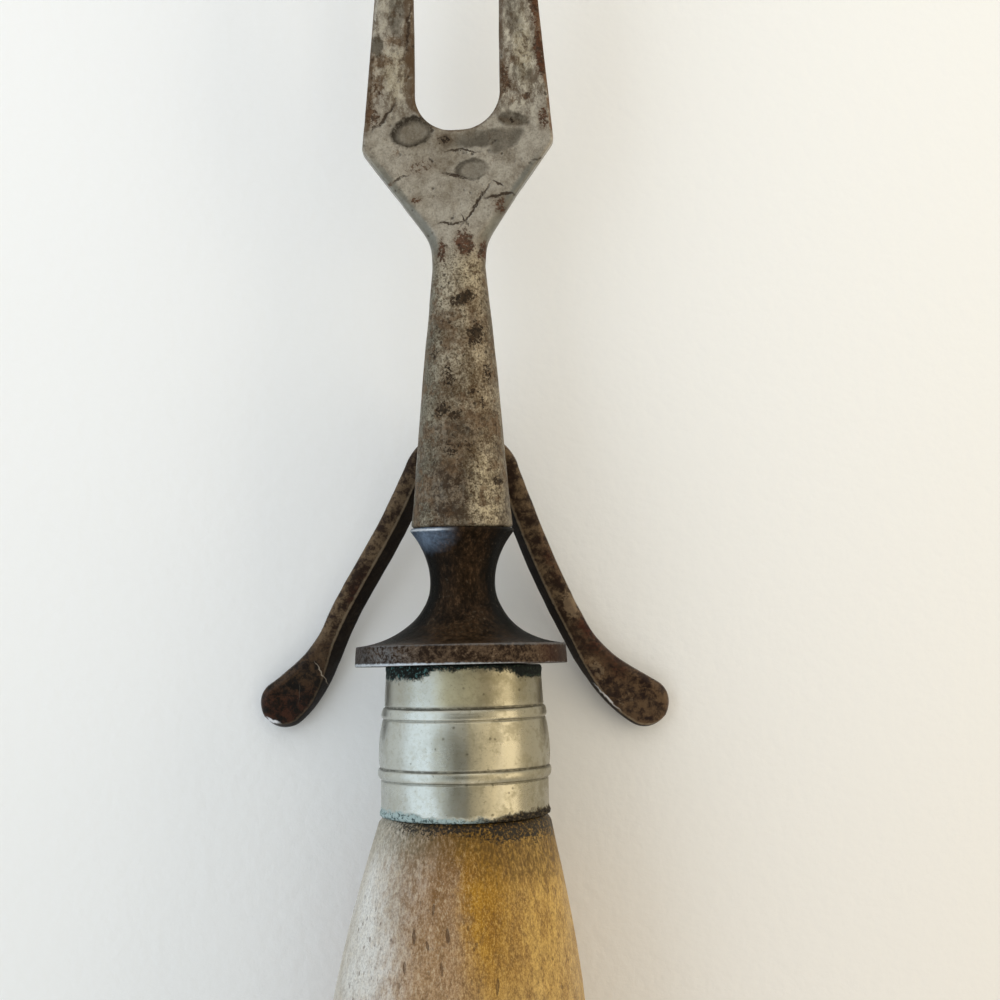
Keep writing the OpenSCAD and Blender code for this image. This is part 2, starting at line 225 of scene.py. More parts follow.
def unevenness(points, size, seed):
    # value noise: a number for each corner of a lattice of cells, eased between the corners, about -1 to 1
    q = points / size
    cell = np.floor(q).astype(np.int64)
    f = ease(q - cell)
    total = np.zeros(len(points))
    for corner in np.ndindex(2, 2, 2):
        c = cell + np.array(corner)
        h = (c[:, 0] * 73856093) ^ (c[:, 1] * 19349663) ^ (c[:, 2] * 83492791) ^ (seed * 9176741)
        h = ((h ^ (h >> 13)) * 1274126177) & 0x7FFFFFFF
        value = ((h >> 8) & 0xFFFF) / 32767.5 - 1
        total += value * np.prod(np.where(np.array(corner) == 1, f, 1 - f), axis=1)
    return total


def relief(points, rows):
    # a sum of unevennesses, each given as depth, size and seed
    return sum(depth * unevenness(points, size, seed) for depth, size, seed in rows)


def gridQuads(rows, cols, ring=True):
    # the four corners of each cell of a grid of points; a ring's last column joins its first
    a = np.arange(rows * cols).reshape(rows, cols)
    b = np.roll(a, -1, axis=1)
    cells = np.stack([a[:-1], b[:-1], b[1:], a[1:]], axis=-1)
    return (cells if ring else cells[:, :-1]).reshape(-1, 4)


def weld(points, quads, extra=None):
    # points in the same place become one
    _, first, back = np.unique(np.round(points, 4), axis=0, return_index=True, return_inverse=True)
    back = back.reshape(-1)
    kept = None if extra is None else extra[first]
    return points[first], back[quads], kept


def outward(points, quads):
    # a closed surface with its inside out has a negative volume
    p = points[quads]
    volume = (np.einsum("ij,ij->i", p[:, 0], np.cross(p[:, 1], p[:, 2]))
              + np.einsum("ij,ij->i", p[:, 0], np.cross(p[:, 2], p[:, 3]))).sum()
    return quads if volume > 0 else quads[:, ::-1]


def normalsOf(points, quads):
    # the mean of the normals of the cells round each point, by their areas
    p = points[quads]
    n = np.cross(p[:, 2] - p[:, 0], p[:, 3] - p[:, 1])
    total = np.zeros_like(points)
    for k in range(4):
        np.add.at(total, quads[:, k], n)
    return total / np.maximum(np.linalg.norm(total, axis=1, keepdims=True), 1e-12)


def makeMesh(name, points, quads, marks=None):
    # points in mm from the flange and the axis; cells with two equal corners become triangles
    same = quads == np.roll(quads, -1, axis=1)
    whole = quads[~same.any(axis=1)]
    thin = quads[same.sum(axis=1) == 1]
    turn = (np.argmax(thin == np.roll(thin, -1, axis=1), axis=1)[:, None] + np.arange(1, 4)) % 4
    corners = np.take_along_axis(thin, turn, axis=1)
    corners = corners[(corners[:, 0] != corners[:, 1]) & (corners[:, 0] != corners[:, 2])]
    mesh = bpy.data.meshes.new(name)
    mesh.from_pydata(((points + [0, zeroY, axisZ]) * mm).tolist(), [], whole.tolist() + corners.tolist())
    for key, values in (marks or {}).items():
        mesh.attributes.new(key, "FLOAT", "POINT").data.foreach_set("value", values.astype(np.float32))
    mesh.shade_smooth()
    return mesh


def addObject(name, data):
    made = bpy.data.objects.new(name, data)
    bpy.context.scene.collection.objects.link(made)
    return made


def showPiece(name, mesh, material, body, node):
    # a new object that rides on a body and stands for a node of the frame
    piece = addObject(name, mesh)
    mesh.materials.clear()
    mesh.materials.append(material)
    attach(piece, body)
    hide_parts(node)
    print(name, len(mesh.vertices), "points", len(mesh.polygons), "faces")


def combine(mesh, tool, operation):
    # mesh cut by or joined to the tool mesh, by a Boolean modifier that is applied here
    holder, helper = addObject("holder", mesh), addObject("helper", tool)
    change = holder.modifiers.new("change", "BOOLEAN")
    change.operation = operation
    change.solver = "EXACT"
    change.object = helper
    graph = bpy.context.evaluated_depsgraph_get()
    made = bpy.data.meshes.new_from_object(holder.evaluated_get(graph))
    for o in (holder, helper):
        bpy.data.objects.remove(o)
    return made


def boxMesh(name, low, high):
    # a plain block between two corners, to cut with
    corner = np.array(list(np.ndindex(2, 2, 2)))
    points = np.where(corner == 1, high, low).astype(float)
    quads = np.array([[0, 1, 3, 2], [4, 6, 7, 5], [0, 4, 5, 1], [2, 3, 7, 6], [0, 2, 6, 4], [1, 5, 7, 3]])
    return makeMesh(name, points, outward(points, quads))


def turnedGrid(radius, along, around):
    # a profile of radius and place along the axis, turned about it; rows follow the profile
    a = np.linspace(0, 2 * math.pi, around, endpoint=False)
    r, y = np.asarray(radius)[:, None], np.asarray(along)[:, None]
    return np.stack([r * np.cos(a), y + 0 * a, r * np.sin(a)], axis=-1)


# camera: straight over the fork, turned a little so that the tines lean to the left
cameraSizes = dict(overX=4.4, overY=18.9, height=483.0, halfWidth=57.5, lean=0.66, pitch=2.6,
                   sensor=36, nearest=0.01, farthest=40)


def setCamera(sizes):
    s = SimpleNamespace(**sizes)
    data = bpy.data.cameras.new("camera")
    data.sensor_width = s.sensor
    data.lens = s.sensor / 2 * s.height / s.halfWidth
    data.clip_start, data.clip_end = s.nearest, s.farthest
    camera = addObject("camera", data)
    centre = Matrix.Translation((s.overX * mm, (s.overY + zeroY) * mm, axisZ * mm))
    lean = Matrix.Rotation(math.radians(-s.lean), 4, "Z")
    pitch = Matrix.Rotation(math.radians(s.pitch), 4, "X")
    camera.matrix_world = centre @ lean @ pitch @ Matrix.Translation((0, 0, s.height * mm))
    bpy.context.scene.camera = camera


setCamera(cameraSizes)

# soft studio light, in m and W: a tall cool window on the left, a smaller warm lamp on the right,
# and a room with a dim ceiling
lightSizes = dict(
    window=dict(place=(-0.85, -0.08, 0.56), size=(1.9, 1.1), power=5.7, colour=(0.80, 0.90, 1.0)),
    lamp=dict(place=(0.82, 0.05, 0.42), size=(0.9, 0.48), power=2.6, colour=(1.0, 0.90, 0.74)),
    aimHeight=0.015, brightness=0.96, zenith=(0.26, 0.25, 0.21, 1), cool=(0.72, 0.79, 0.85, 1),
    warm=(0.84, 0.76, 0.60, 1), north=(1.20, 1.19, 1.16, 1), south=(0.95, 0.93, 0.90, 1),
    leftToRight=(-0.6, 0.6), southToNorth=(-0.3, 0.3), sideToEnd=(0.40, 0.80), wallToZenith=(0.89, 0.985))


def setLights(sizes):
    s = SimpleNamespace(**sizes)
    for name in ("window", "lamp"):
        v = SimpleNamespace(**sizes[name])
        data = bpy.data.lights.new(name, "AREA")
        data.shape = "RECTANGLE"
        data.size, data.size_y = v.size
        data.energy, data.color = v.power, v.colour
        light = addObject(name, data)
        # the lamp looks at the middle of the fork, its first side along the fork
        x, y, z = v.place
        back = np.array([x, y, z - s.aimHeight])
        back = back / np.linalg.norm(back)
        side = np.cross([0, 0, 1.0], back)
        side = side / np.linalg.norm(side)
        up = np.cross(back, side)
        light.matrix_world = Matrix([[side[0], up[0], back[0], x], [side[1], up[1], back[1], y],
                                     [side[2], up[2], back[2], z], [0, 0, 0, 1]])
    world = bpy.data.worlds.new("room")
    root = emptyNodes(world)
    way = root.node("TexCoord", {}, {}, "Generated")
    y = way.part("Y")
    sides = root.blend(way.part("X").step(*s.leftToRight), s.cool, s.warm)
    ends = root.blend(y.step(*s.southToNorth), s.south, s.north)
    walls = root.blend(abs(y).step(*s.sideToEnd), sides, ends)
    room = root.blend(way.part("Z").step(*s.wallToZenith), walls, s.zenith)
    sky = root.node("Background", {}, {"Color": room, "Strength": s.brightness})
    root.node("OutputWorld", {}, {"Surface": sky})
    bpy.context.scene.world = world


setLights(lightSizes)
bpy.context.scene.view_settings.view_transform = "Standard"


# floor: pale, with painted light: warmer to the right, cooler to the left and lighter beyond the tines;
# half and drop in m, the rest in mm
floorSizes = dict(half=12.0, drop=1e-4, grain=1.5, leftToRight=(-50, 110), nearToFar=(-100, 110),
                  glowFrom=(240, 700), nearLeft=(230, 232, 233), nearRight=(234, 225, 212),
                  farLeft=(248, 249, 250), farRight=(249, 246, 239), distant=(246, 244, 240))


def setFloor(sizes):
    s = SimpleNamespace(**sizes)
    material, root, spot = startPaint("paleFloor")
    # painted light: the floor's tint is cooler on the left, warmer on the right and lighter beyond the
    # tines
    across = spot.part("X").step(*s.leftToRight)
    near = root.blend(across, tone(*s.nearLeft), tone(*s.nearRight))
    far = root.blend(across, tone(*s.farLeft), tone(*s.farRight))
    tint = root.blend(spot.part("Y").step(*s.nearToFar), near, far)
    normal = root.node("Bump", {}, {"Strength": 0.1, "Distance": mm, "Height": spot.cloud(s.grain, 3)})
    bare = root.node("BsdfPrincipled", {}, {"Base Color": tint, "Roughness": 0.9, "Normal": normal})
    # past the lamps the floor glows evenly, so that low views show no edge
    glow = root.node("Emission", {}, {"Color": tone(*s.distant), "Strength": 1.0})
    away = root.node("VectorMath", {"operation": "LENGTH"}, {0: spot}, "Value").step(*s.glowFrom)
    root.node("OutputMaterial", {}, {"Surface": root.node("MixShader", {}, {0: away, 1: bare, 2: glow})})
    mesh = bpy.data.meshes.new("floor")
    h, z = s.half, -s.drop
    mesh.from_pydata([(-h, -h, z), (h, -h, z), (h, h, z), (-h, h, z)], [], [(0, 1, 2, 3)])
    mesh.materials.append(material)
    floor = addObject("floor", mesh)


setFloor(floorSizes)
print("camera, light and floor set")

# fork: tang, shank, shoulder and tines in one forging
# sizes that end in Over are pairs, where a change starts and how far it runs; swells are depth, size, seed
forkSizes = dict(
    tineLength=88, tineGap=9.7, tineWidth=6.25, tipWidth=1.5, pointLength=22, pointWidth=0.5,
    thickness=4, tipThickness=0.8, lift=9, crotchRadius=4.3,
    cornerY=59.5, crotchY=61.5, flareY=48.5, shoulderLength=11, filletRound=0.45, cornerRound=0.12,
    shankY=15.7, shankRoot=5.84, shankTip=3.1, shankLength=29.8, chamfer=0.3, fuller=0.15,
    tangLength=70, tangRoot=2.6, tangWidth=1.788, tangEnd=1.0, tangRound=0.2, endRound=0.3,
    flatFrom=42, plateOver=(42.5, 9.5), leanBack=2, leanFrom=46, splitBelow=3.0, joinAbove=6.5,
    bowOut=4.6, bowUp=0.3, bowDown=5, stemStep=0.3, tineStep=0.4, hair=0.01,
    edgeRound=0.45, rolled=1.1, rolledOver=(50, 7), tineRound=0.95, tineRoundOver=(66, 30),
    swells=((0.05, 7, 3), (0.03, 2.6, 5)), rustSize=1.7, rustPatch=5, rustDepth=0.16, sink=0.05,
    askew=0.05, askewAbout=-2.8, askewOver=(47, 7), squareOver=(63, 13),
    slotHalf=1.3, slotTop=0.2, slotLow=26.19, slotHigh=35.07, slotBack=-30)


def forkSection(mid, edge, low, high, roll, plate):
    # half a section from the middle line over the edge to the middle line behind: a circle's quarter or a
    # flat with a rounded edge and a wall, blended by plate; low and high are the back and front heights
    flat, arc, wall = 12, 9, 4
    length = np.linalg.norm(edge - mid, axis=1)[:, None]
    half = ((high - low) / 2)[:, None]
    # the round of the edge leaves some wall and some flat
    r = np.minimum(np.minimum(roll[:, None], 0.9 * half), 0.48 * np.maximum(length, 1e-9))
    share, tall = r / np.maximum(length, 1e-9), r / np.maximum(half, 1e-9)
    a = np.linspace(0, math.pi / 2, arc + 1)[None, 1:]
    u = np.linspace(0, 1, flat)[None]
    w = np.linspace(1, 0, wall + 1)[None, 1:]
    s = np.concatenate([u * (1 - share), 1 - share + share * np.sin(a), np.ones_like(w * share)], axis=1)
    z = np.concatenate([1 + 0 * u * share, 1 - tall + tall * np.cos(a), (1 - tall) * w], axis=1)
    q = np.linspace(0, math.pi / 2, s.shape[1])[None]
    p = plate[:, None]
    s = (1 - p) * np.sin(q) + p * s
    z = (1 - p) * np.cos(q) + p * z
    s = np.concatenate([s, s[:, -2::-1]], axis=1)
    z = np.concatenate([z, -z[:, -2::-1]], axis=1)
    plan = mid[:, None] + (edge - mid)[:, None] * s[..., None]
    height = ((high + low) / 2)[:, None] + half * z
    gap = length * (1 - s)
    return np.concatenate([plan, height[..., None]], axis=-1), gap


def makeFork(sizes):
    # half sections from the middle line out, carried up tang, shank and shoulder and on up each tine,
    # and half sections in from that line to the crotch and the tines' inner edges, all mirrored
    s = SimpleNamespace(**sizes)
    gapHalf = s.tineGap / 2
    shoulder = gapHalf + s.tineWidth
    tipHalf = gapHalf + s.tipWidth
    tipY = s.crotchY + s.tineLength
    inset = shoulder - tipHalf
    run = tipY - s.cornerY
    edgeRadius = (run ** 2 + inset ** 2) / (2 * inset)
    taper = (s.shankRoot - s.shankTip) / s.shankLength

    def outerEdge(y):
        # half width: the shank's cone, the slope of the shoulder and the long arc of the tine,
        # with rounded corners between them
        cone = np.maximum(s.shankRoot - taper * (y - s.shankY), s.shankTip)
        cone = cone + s.fuller * np.sin(math.pi * np.clip((y - s.shankY) / s.shankLength, 0, 1))
        slope = s.shankTip + (y - s.flareY) * (shoulder - s.shankTip) / s.shoulderLength
        arc = tipHalf + edgeRadius - np.sqrt(np.maximum(edgeRadius ** 2 - (tipY - y) ** 2, 0))
        return softMin(softMax(cone, slope, s.filletRound), arc, s.cornerRound)

    def innerEdge(l):
        # the U between the tines by length along it: flat bottom, quarter round, straight side
        r = s.crotchRadius
        flat = gapHalf - r
        a = np.clip((l - flat) / r, 0, math.pi / 2)
        up = np.maximum(l - flat - r * math.pi / 2, 0)
        return np.stack([np.minimum(l, flat) + r * np.sin(a),
                         s.crotchY + r * (1 - np.cos(a)) + up], axis=1)

    def heights(y):
        # back and front of the tines: two arcs that rise and close in on each other
        d = np.clip(y - s.crotchY, 0, s.tineLength)
        frontRise = s.lift + (s.tipThickness - s.thickness) / 2
        backRise = s.lift - (s.tipThickness - s.thickness) / 2
        front = (s.tineLength ** 2 + frontRise ** 2) / (2 * frontRise)
        back = (s.tineLength ** 2 + backRise ** 2) / (2 * backRise)
        return (back - np.sqrt(back ** 2 - d ** 2) - s.thickness / 2,
                front - np.sqrt(front ** 2 - d ** 2) + s.thickness / 2)

    splitY, joinY = s.crotchY - s.splitBelow, s.crotchY + s.joinAbove
    # stations on the axis: tang, root in the bolster, shank, shoulder
    tangY = np.concatenate([[-s.tangLength] * 2, np.linspace(-s.tangLength + s.endRound, 0, 30)])
    tangR = np.interp(tangY, [-s.tangLength, 0], [s.tangEnd, s.tangWidth])
    tangR[0] = 0
    tangR[1] -= s.endRound
    rootY = np.array([0, s.hair, 5, 10, s.shankY - s.hair, s.shankY, s.shankY])
    rootR = np.array([s.tangRoot] * 5 + [s.tangRoot + 1, s.shankRoot - s.chamfer])
    bodyY = np.arange(s.shankY + s.chamfer, splitY, s.stemStep)
    stemY = np.concatenate([tangY, rootY, bodyY, [splitY]])
    wide = np.concatenate([tangR, rootR, outerEdge(bodyY), outerEdge(np.array([splitY]))])
    # sections lean back towards the corner of the shoulder
    lag = s.leanBack * easeOver(stemY, s.leanFrom, splitY - s.leanFrom)
    stemOut = np.stack([np.where(lag > 0, outerEdge(stemY - lag), wide), stemY - lag], axis=1)
    stemMid = np.stack([0 * stemY, stemY], axis=1)
    plate = easeOver(stemY, *s.plateOver)
    plate[:len(tangY)] = 1
    tall = np.where(stemY < s.flatFrom, wide,
                    (1 - plate) * np.minimum(wide, s.shankRoot) + plate * s.thickness / 2)
    tall[:len(tangY)] = tangR
    stemRound = np.where(stemY < 1, s.tangRound,
                         s.edgeRound + s.rolled * (1 - easeOver(stemY, *s.rolledOver)))

    # stations round the crotch and up a tine: the middle line leaves the axis and runs up the tine
    t = np.linspace(0, 1, 46)[1:]
    lengthIn = t * (gapHalf - s.crotchRadius + s.crotchRadius * math.pi / 2
                    + joinY - s.crotchY - s.crotchRadius)
    joinMid = np.array([(gapHalf + outerEdge(np.array([joinY]))[0]) / 2, joinY])
    bow = np.array([[0, splitY], [s.bowOut, splitY + s.bowUp], [joinMid[0], joinY - s.bowDown], joinMid])
    c = t[:, None]
    turnMid = ((1 - c) ** 3 * bow[0] + 3 * c * (1 - c) ** 2 * bow[1]
               + 3 * c * c * (1 - c) * bow[2] + c ** 3 * bow[3])
    turnOutY = splitY - s.leanBack + t * (joinY - splitY + s.leanBack)
    tipTurn = np.linspace(0, math.pi / 2, 6)[1:]
    tineY = np.concatenate([np.arange(joinY + s.tineStep, tipY - s.endRound, s.tineStep),
                            tipY - s.endRound + s.endRound * np.sin(tipTurn)])
    cut = np.clip((tineY - tipY + s.pointLength) / s.pointLength, 0, 1)
    tineIn = gapHalf + cut * (s.tipWidth - s.pointWidth)
    tineOut = outerEdge(tineY)
    close = np.ones(len(tineY))
    close[-len(tipTurn):] = np.cos(tipTurn)
    close[-1] = 0
    tineMid = (tineIn + tineOut) / 2
    armMid = np.concatenate([stemMid[-1:], turnMid, np.stack([tineMid, tineY], axis=1)])
    armOut = np.concatenate([stemOut[-1:], np.stack([outerEdge(turnOutY), turnOutY], axis=1),
                             np.stack([tineMid + (tineOut - tineMid) * close, tineY], axis=1)])
    armIn = np.concatenate([innerEdge(np.zeros(1)), innerEdge(lengthIn),
                            np.stack([tineMid + (tineIn - tineMid) * close, tineY], axis=1)])
    low, high = heights(armMid[:, 1])
    shut = np.concatenate([np.ones(len(armMid) - len(tineY)), close])
    middle, half = (low + high) / 2, (high - low) / 2 * shut
    low, high = middle - half, middle + half
    armRound = s.edgeRound + (s.tineRound - s.edgeRound) * easeOver(armMid[:, 1], *s.tineRoundOver)
    ones = np.ones(len(armMid))

    outLow = np.concatenate([-tall, low[1:]])
    outHigh = np.concatenate([tall, high[1:]])
    outer, outerGap = forkSection(
        np.concatenate([stemMid, armMid[1:]]), np.concatenate([stemOut, armOut[1:]]), outLow, outHigh,
        np.concatenate([stemRound, armRound[1:]]), np.concatenate([plate, ones[1:]]))
    inner, innerGap = forkSection(armMid, armIn, low, high, armRound, ones)
    halves, gaps, quads, start = [], [], [], 0
    for grid, gap in ((outer, outerGap), (inner, innerGap)):
        rows, cols = grid.shape[:2]
        for side in (1, -1):
            halves.append(grid.reshape(-1, 3) * [side, 1, 1])
            gaps.append(gap.reshape(-1))
            cells = gridQuads(rows, cols, False) + start
            quads.append(cells if (side > 0) == (grid is outer) else cells[:, ::-1])
            start += rows * cols
    points, quads, gap = weld(np.concatenate(halves), np.concatenate(quads), np.concatenate(gaps))
    quads = outward(points, quads)
    # forging: long swells, and shallow hollows where rust has eaten the surface
    normal = normalsOf(points, quads)
    spots, patches = unevenness(points, s.rustSize, 8), unevenness(points, s.rustPatch, 9)
    eaten = np.clip(spots - 0.35, 0, 1) * np.clip(patches + 0.3, 0, 1)
    shown = ease((points[:, 1] - s.shankY - 0.5) / 2) * (1 - 0.8 * ease((points[:, 1] - tipY + 12) / 12))
    worn = relief(points, s.swells) - s.rustDepth * eaten - s.sink
    points = points + normal * (worn * shown)[:, None]
    # the shoulder was forged a little out of square: its right corner stands higher than its left
    x, y = points[:, 0], points[:, 1]
    askew = easeOver(y, *s.askewOver) * (1 - easeOver(y, *s.squareOver))
    points[:, 1] = y + s.askew * (x - s.askewAbout) * askew
    steel = makeMesh("forkSteel", points, quads, {"edgeGap": np.clip(gap, 0, 20)})
    # the slot for the guard's tongue is open at the back
    slot = boxMesh("slotCutter", [-s.slotHalf, s.slotLow, s.slotBack], [s.slotHalf, s.slotHigh, s.slotTop])
    return combine(steel, slot, "DIFFERENCE")


# guard: a wishbone bar that swings on a tongue in the back of the shank, and the rivet through both
guardSizes = dict(
    pinY=31.0, pinDepth=2.0, pinRadius=0.9, pinRoom=0.05, pinSink=0.15, pinDome=0.12, pinAround=40,
    tongueHalf=1.15, tongueShare=0.75, tongueEdge=0.15, tongueAround=120, knuckle=1.9,
    armWidth=3.4, armThickness=2.4, toeThickness=2.0, chamfer=0.45, toeChamfer=0.15, cornerReach=0.3,
    slopeLeft=1.6, slopeRight=1.0, slopeFade=0.6, slopeDeep=0.62, slopeSteep=1.25, ridgeReach=0.13,
    archRadius=5.4, legAngle=24.5, legLength=21.08, toeBend=20.5, toeAngle=57.0, toeRadius=2.9,
    toeThin=0.45, toeThinOver=(0.9, 0.67), archSteps=16, legSteps=60, bendSteps=36, endSteps=18,
    legSet=0.9, legWave=0.5, leftUp=0.018, leftFrom=3, wear=((0.05, 3.5, 21), (0.03, 1.3, 22)), sink=0.04,
    clearance=0.1, archClearance=1.6, backAtPin=2.3894, bellyHalf=13.6)


def makeRivet(sizes):
    # a round bar along X with domed ends, as long as the shank is wide at its depth
    s = SimpleNamespace(**sizes)
    shank = s.backAtPin + s.pinDepth
    half = shank * math.cos(math.asin(s.pinDepth / shank)) - s.pinSink
    a = np.linspace(0, 2 * math.pi, s.pinAround, endpoint=False)
    q = np.linspace(0, math.pi / 2, 8)
    along = np.linspace(-half, half, 9)[1:-1]
    x = np.concatenate([-half - s.pinDome * np.cos(q), along, half + s.pinDome * np.sin(q)])
    r = np.concatenate([s.pinRadius * np.sin(q), np.full(len(along), s.pinRadius), s.pinRadius * np.cos(q)])
    points = np.stack([x[:, None] + 0 * a, s.pinY + r[:, None] * np.cos(a),
                       -s.pinDepth + r[:, None] * np.sin(a)], axis=-1)
    points, quads, _ = weld(points.reshape(-1, 3), gridQuads(len(x), len(a)))
    return makeMesh("rivet", points, outward(points, quads))


def armSections(s, side, planeDrop, archV):
    # a bar section carried along arch, straight leg, outward bend and rounded toe
    leg, toe = math.radians(s.legAngle), math.radians(s.toeAngle)
    endX, endV = s.archRadius * math.cos(leg), archV + s.archRadius * (1 - math.sin(leg))
    legX, legV = endX + s.legLength * math.sin(leg), endV + s.legLength * math.cos(leg)
    a = np.linspace(0, math.pi / 2 - leg, s.archSteps)
    l = np.linspace(0, s.legLength, s.legSteps)[1:]
    h = np.linspace(leg, toe, s.bendSteps)[1:]
    x = np.concatenate([s.archRadius * np.sin(a), endX + l * math.sin(leg),
                        legX + s.toeBend * (math.cos(leg) - np.cos(h))])
    v = np.concatenate([archV + s.archRadius * (1 - np.cos(a)), endV + l * math.cos(leg),
                        legV + s.toeBend * (np.sin(h) - math.sin(leg))])
    heading = np.concatenate([math.pi / 2 - a, leg + 0 * l, h])
    bend = np.concatenate([0 * a, 0 * l, np.linspace(0, 1, s.bendSteps)[1:]])
    t = math.pi * np.clip((v - endV) / (v[-1] - endV), 0, 1)
    x = x - side * s.legSet * np.sin(t) - (side < 0) * s.legWave * np.sin(2 * t)
    half = s.armWidth / 2 + (s.toeRadius - s.armWidth / 2) * ease(bend)
    thick = s.armThickness + (s.toeThickness - s.armThickness) * bend
    # rounded end of the toe
    q = np.linspace(0, math.pi / 2, s.endSteps)[1:]
    x = np.concatenate([x, x[-1] + s.toeRadius * np.sin(q) * math.sin(toe)])
    v = np.concatenate([v, v[-1] + s.toeRadius * np.sin(q) * math.cos(toe)])
    heading = np.concatenate([heading, toe + 0 * q])
    half = np.concatenate([half, s.toeRadius * np.cos(q)])
    half[-1] = 0
    thick = np.concatenate([thick, s.toeThickness * (1 - s.toeThin * easeOver(q, *s.toeThinOver))])
    end = np.concatenate([bend, 1 + 0 * q])
    slope = (s.slopeRight if side > 0 else s.slopeLeft) * (1 - s.slopeFade * ease(end))
    slope = np.minimum(slope, 0.9 * half)
    deep = np.minimum(s.slopeDeep * thick, np.minimum(s.slopeSteep * slope, half))
    c = np.minimum(s.chamfer + s.toeChamfer * ease(end), 0.45 * half)
    t = thick / 2
    # corners round the bar, outer side first; the second of the face's edges is the ridge
    corner = np.stack([
        np.stack([half, c - t], 1), np.stack([half, t - c], 1), np.stack([half - c, t], 1),
        np.stack([slope - half, t], 1), np.stack([-half, t - deep], 1), np.stack([-half, c - t], 1),
        np.stack([c - half, -t], 1), np.stack([half - c, -t], 1)], axis=1)
    before, after = np.roll(corner, 1, axis=1) - corner, np.roll(corner, -1, axis=1) - corner
    lb = np.linalg.norm(before, axis=2, keepdims=True)
    la = np.linalg.norm(after, axis=2, keepdims=True)
    reach = np.full((1, 8, 1), s.cornerReach)
    reach[0, 3] = s.ridgeReach
    db = before / np.maximum(lb, 1e-9) * np.minimum(reach, 0.4 * lb)
    da = after / np.maximum(la, 1e-9) * np.minimum(reach, 0.4 * la)
    ring = np.stack([corner + db, corner + 0.27 * (da + db), corner + da], axis=2).reshape(len(x), 24, 2)
    nxt = np.roll(ring, -1, axis=1)
    ring = np.stack([ring, ring + (nxt - ring) / 3, ring + (nxt - ring) * 2 / 3], axis=2)
    ring = ring.reshape(len(x), 72, 2)
    out = ring[..., 0]
    points = np.stack([x[:, None] + out * np.cos(heading)[:, None],
                       -(v[:, None]) + out * np.sin(heading)[:, None], ring[..., 1] - planeDrop], axis=-1)
    ridge = np.abs(ring[..., 0] - (slope - half)[:, None]) + np.abs(ring[..., 1] - t[:, None])
    inner = ease(((slope - half)[:, None] - out + 0.1) / 0.2)  # 1 on the sloping inner face
    return points, np.clip(ridge, 0, 5), inner


def makeGuard(sizes):
    # two arms joined at the arch, worn a little, then turned down about the rivet and joined to the tongue
    s = SimpleNamespace(**sizes)
    planeDrop = s.backAtPin + s.clearance + s.armThickness / 2
    archV = s.backAtPin + s.archClearance + s.armWidth / 2
    right, rightRim, rightIn = armSections(s, 1, planeDrop, archV)
    left, leftRim, leftIn = armSections(s, -1, planeDrop, archV)
    rings = np.concatenate([left[:0:-1] * [-1, 1, 1], right])
    marks = np.stack([np.concatenate([leftRim[:0:-1], rightRim]),
                      np.concatenate([leftIn[:0:-1], rightIn])], axis=-1)
    rows, cols = rings.shape[:2]
    points, quads, marks = weld(rings.reshape(-1, 3), gridQuads(rows, cols), marks.reshape(-1, 2))
    quads = outward(points, quads)
    normal = normalsOf(points, quads)
    points = points + normal * (relief(points, s.wear) - s.sink)[:, None]
    points[:, 1] += s.leftUp * np.clip(-points[:, 0] - s.leftFrom, 0, None)  # the left toe stands higher

    # droop of the folded guard: its toes stand level with the belly of the handle
    toe, leg = math.radians(s.toeAngle), math.radians(s.legAngle)
    reach = (archV + s.archRadius * (1 - math.sin(leg)) + s.legLength * math.cos(leg)
             + s.toeBend * (math.sin(toe) - math.sin(leg)) + s.toeRadius)
    drop = planeDrop + s.toeThickness / 2
    droop = math.asin((s.bellyHalf - s.pinDepth) / math.hypot(reach, drop)) - math.atan2(drop, reach)
    cosine, sine = math.cos(droop), math.sin(droop)
    turn = np.array([[1, 0, 0], [0, cosine, -sine], [0, sine, cosine]])
    pin = np.array([0, s.pinY, -s.pinDepth])

    # tongue: the pin's hole inside, and outside the farther of the knuckle and the straight bar, by angle
    tilt = math.atan2(planeDrop, archV)
    longSide, thick = math.hypot(planeDrop, archV), s.tongueShare * s.knuckle
    b = np.linspace(0, 2 * math.pi, s.tongueAround, endpoint=False)
    bar = np.where(np.cos(b) > 0, np.minimum(longSide / np.maximum(np.cos(b), 1e-6),
                                             thick / np.maximum(np.abs(np.sin(b)), 1e-6)), 0)
    far = np.maximum(s.knuckle, bar)
    hole = s.pinRadius + s.pinRoom
    w, e = s.tongueHalf, s.tongueEdge
    wall = [(hole + 0 * b, -w), (far - e, -w), (far, e - w), (far, w - e), (far - e, w), (hole + 0 * b, w)]
    grid = np.stack([np.stack([x + 0 * b, -r * np.cos(b + tilt), -r * np.sin(b + tilt)], 1)
                     for r, x in wall])
    grid = np.concatenate([grid, grid[:1]])
    tPoints, tQuads, _ = weld(grid.reshape(-1, 3), gridQuads(len(grid), len(b)))
    tQuads = outward(tPoints, tQuads)
    bow = makeMesh("guardBow", points @ turn.T + pin, quads,
                   {"edgeGap": marks[:, 0], "inner": marks[:, 1]})
    tongue = makeMesh("guardTongue", tPoints @ turn.T + pin, tQuads,
                      {"edgeGap": np.full(len(tPoints), 3.0), "inner": np.zeros(len(tPoints))})
    return combine(bow, tongue, "UNION")


# bolster: collar, necked cove and flange, turned and filed
bolsterSizes = dict(
    height=15.7, collar=5.99, band=0.3, neck=3.8, neckY=9.4, flange=12.2, flangeTop=12.05, rim=2.3,
    bore=2.65, coveShare=1.1, edge=0.18, crisp=0.12, bevelDown=0.25, bevelIn=0.2, aside=0.3, askew=0.013,
    squareOver=(1, 9), filing=((0.05, 5, 31), (0.025, 1.6, 32)), sink=0.03, around=192)


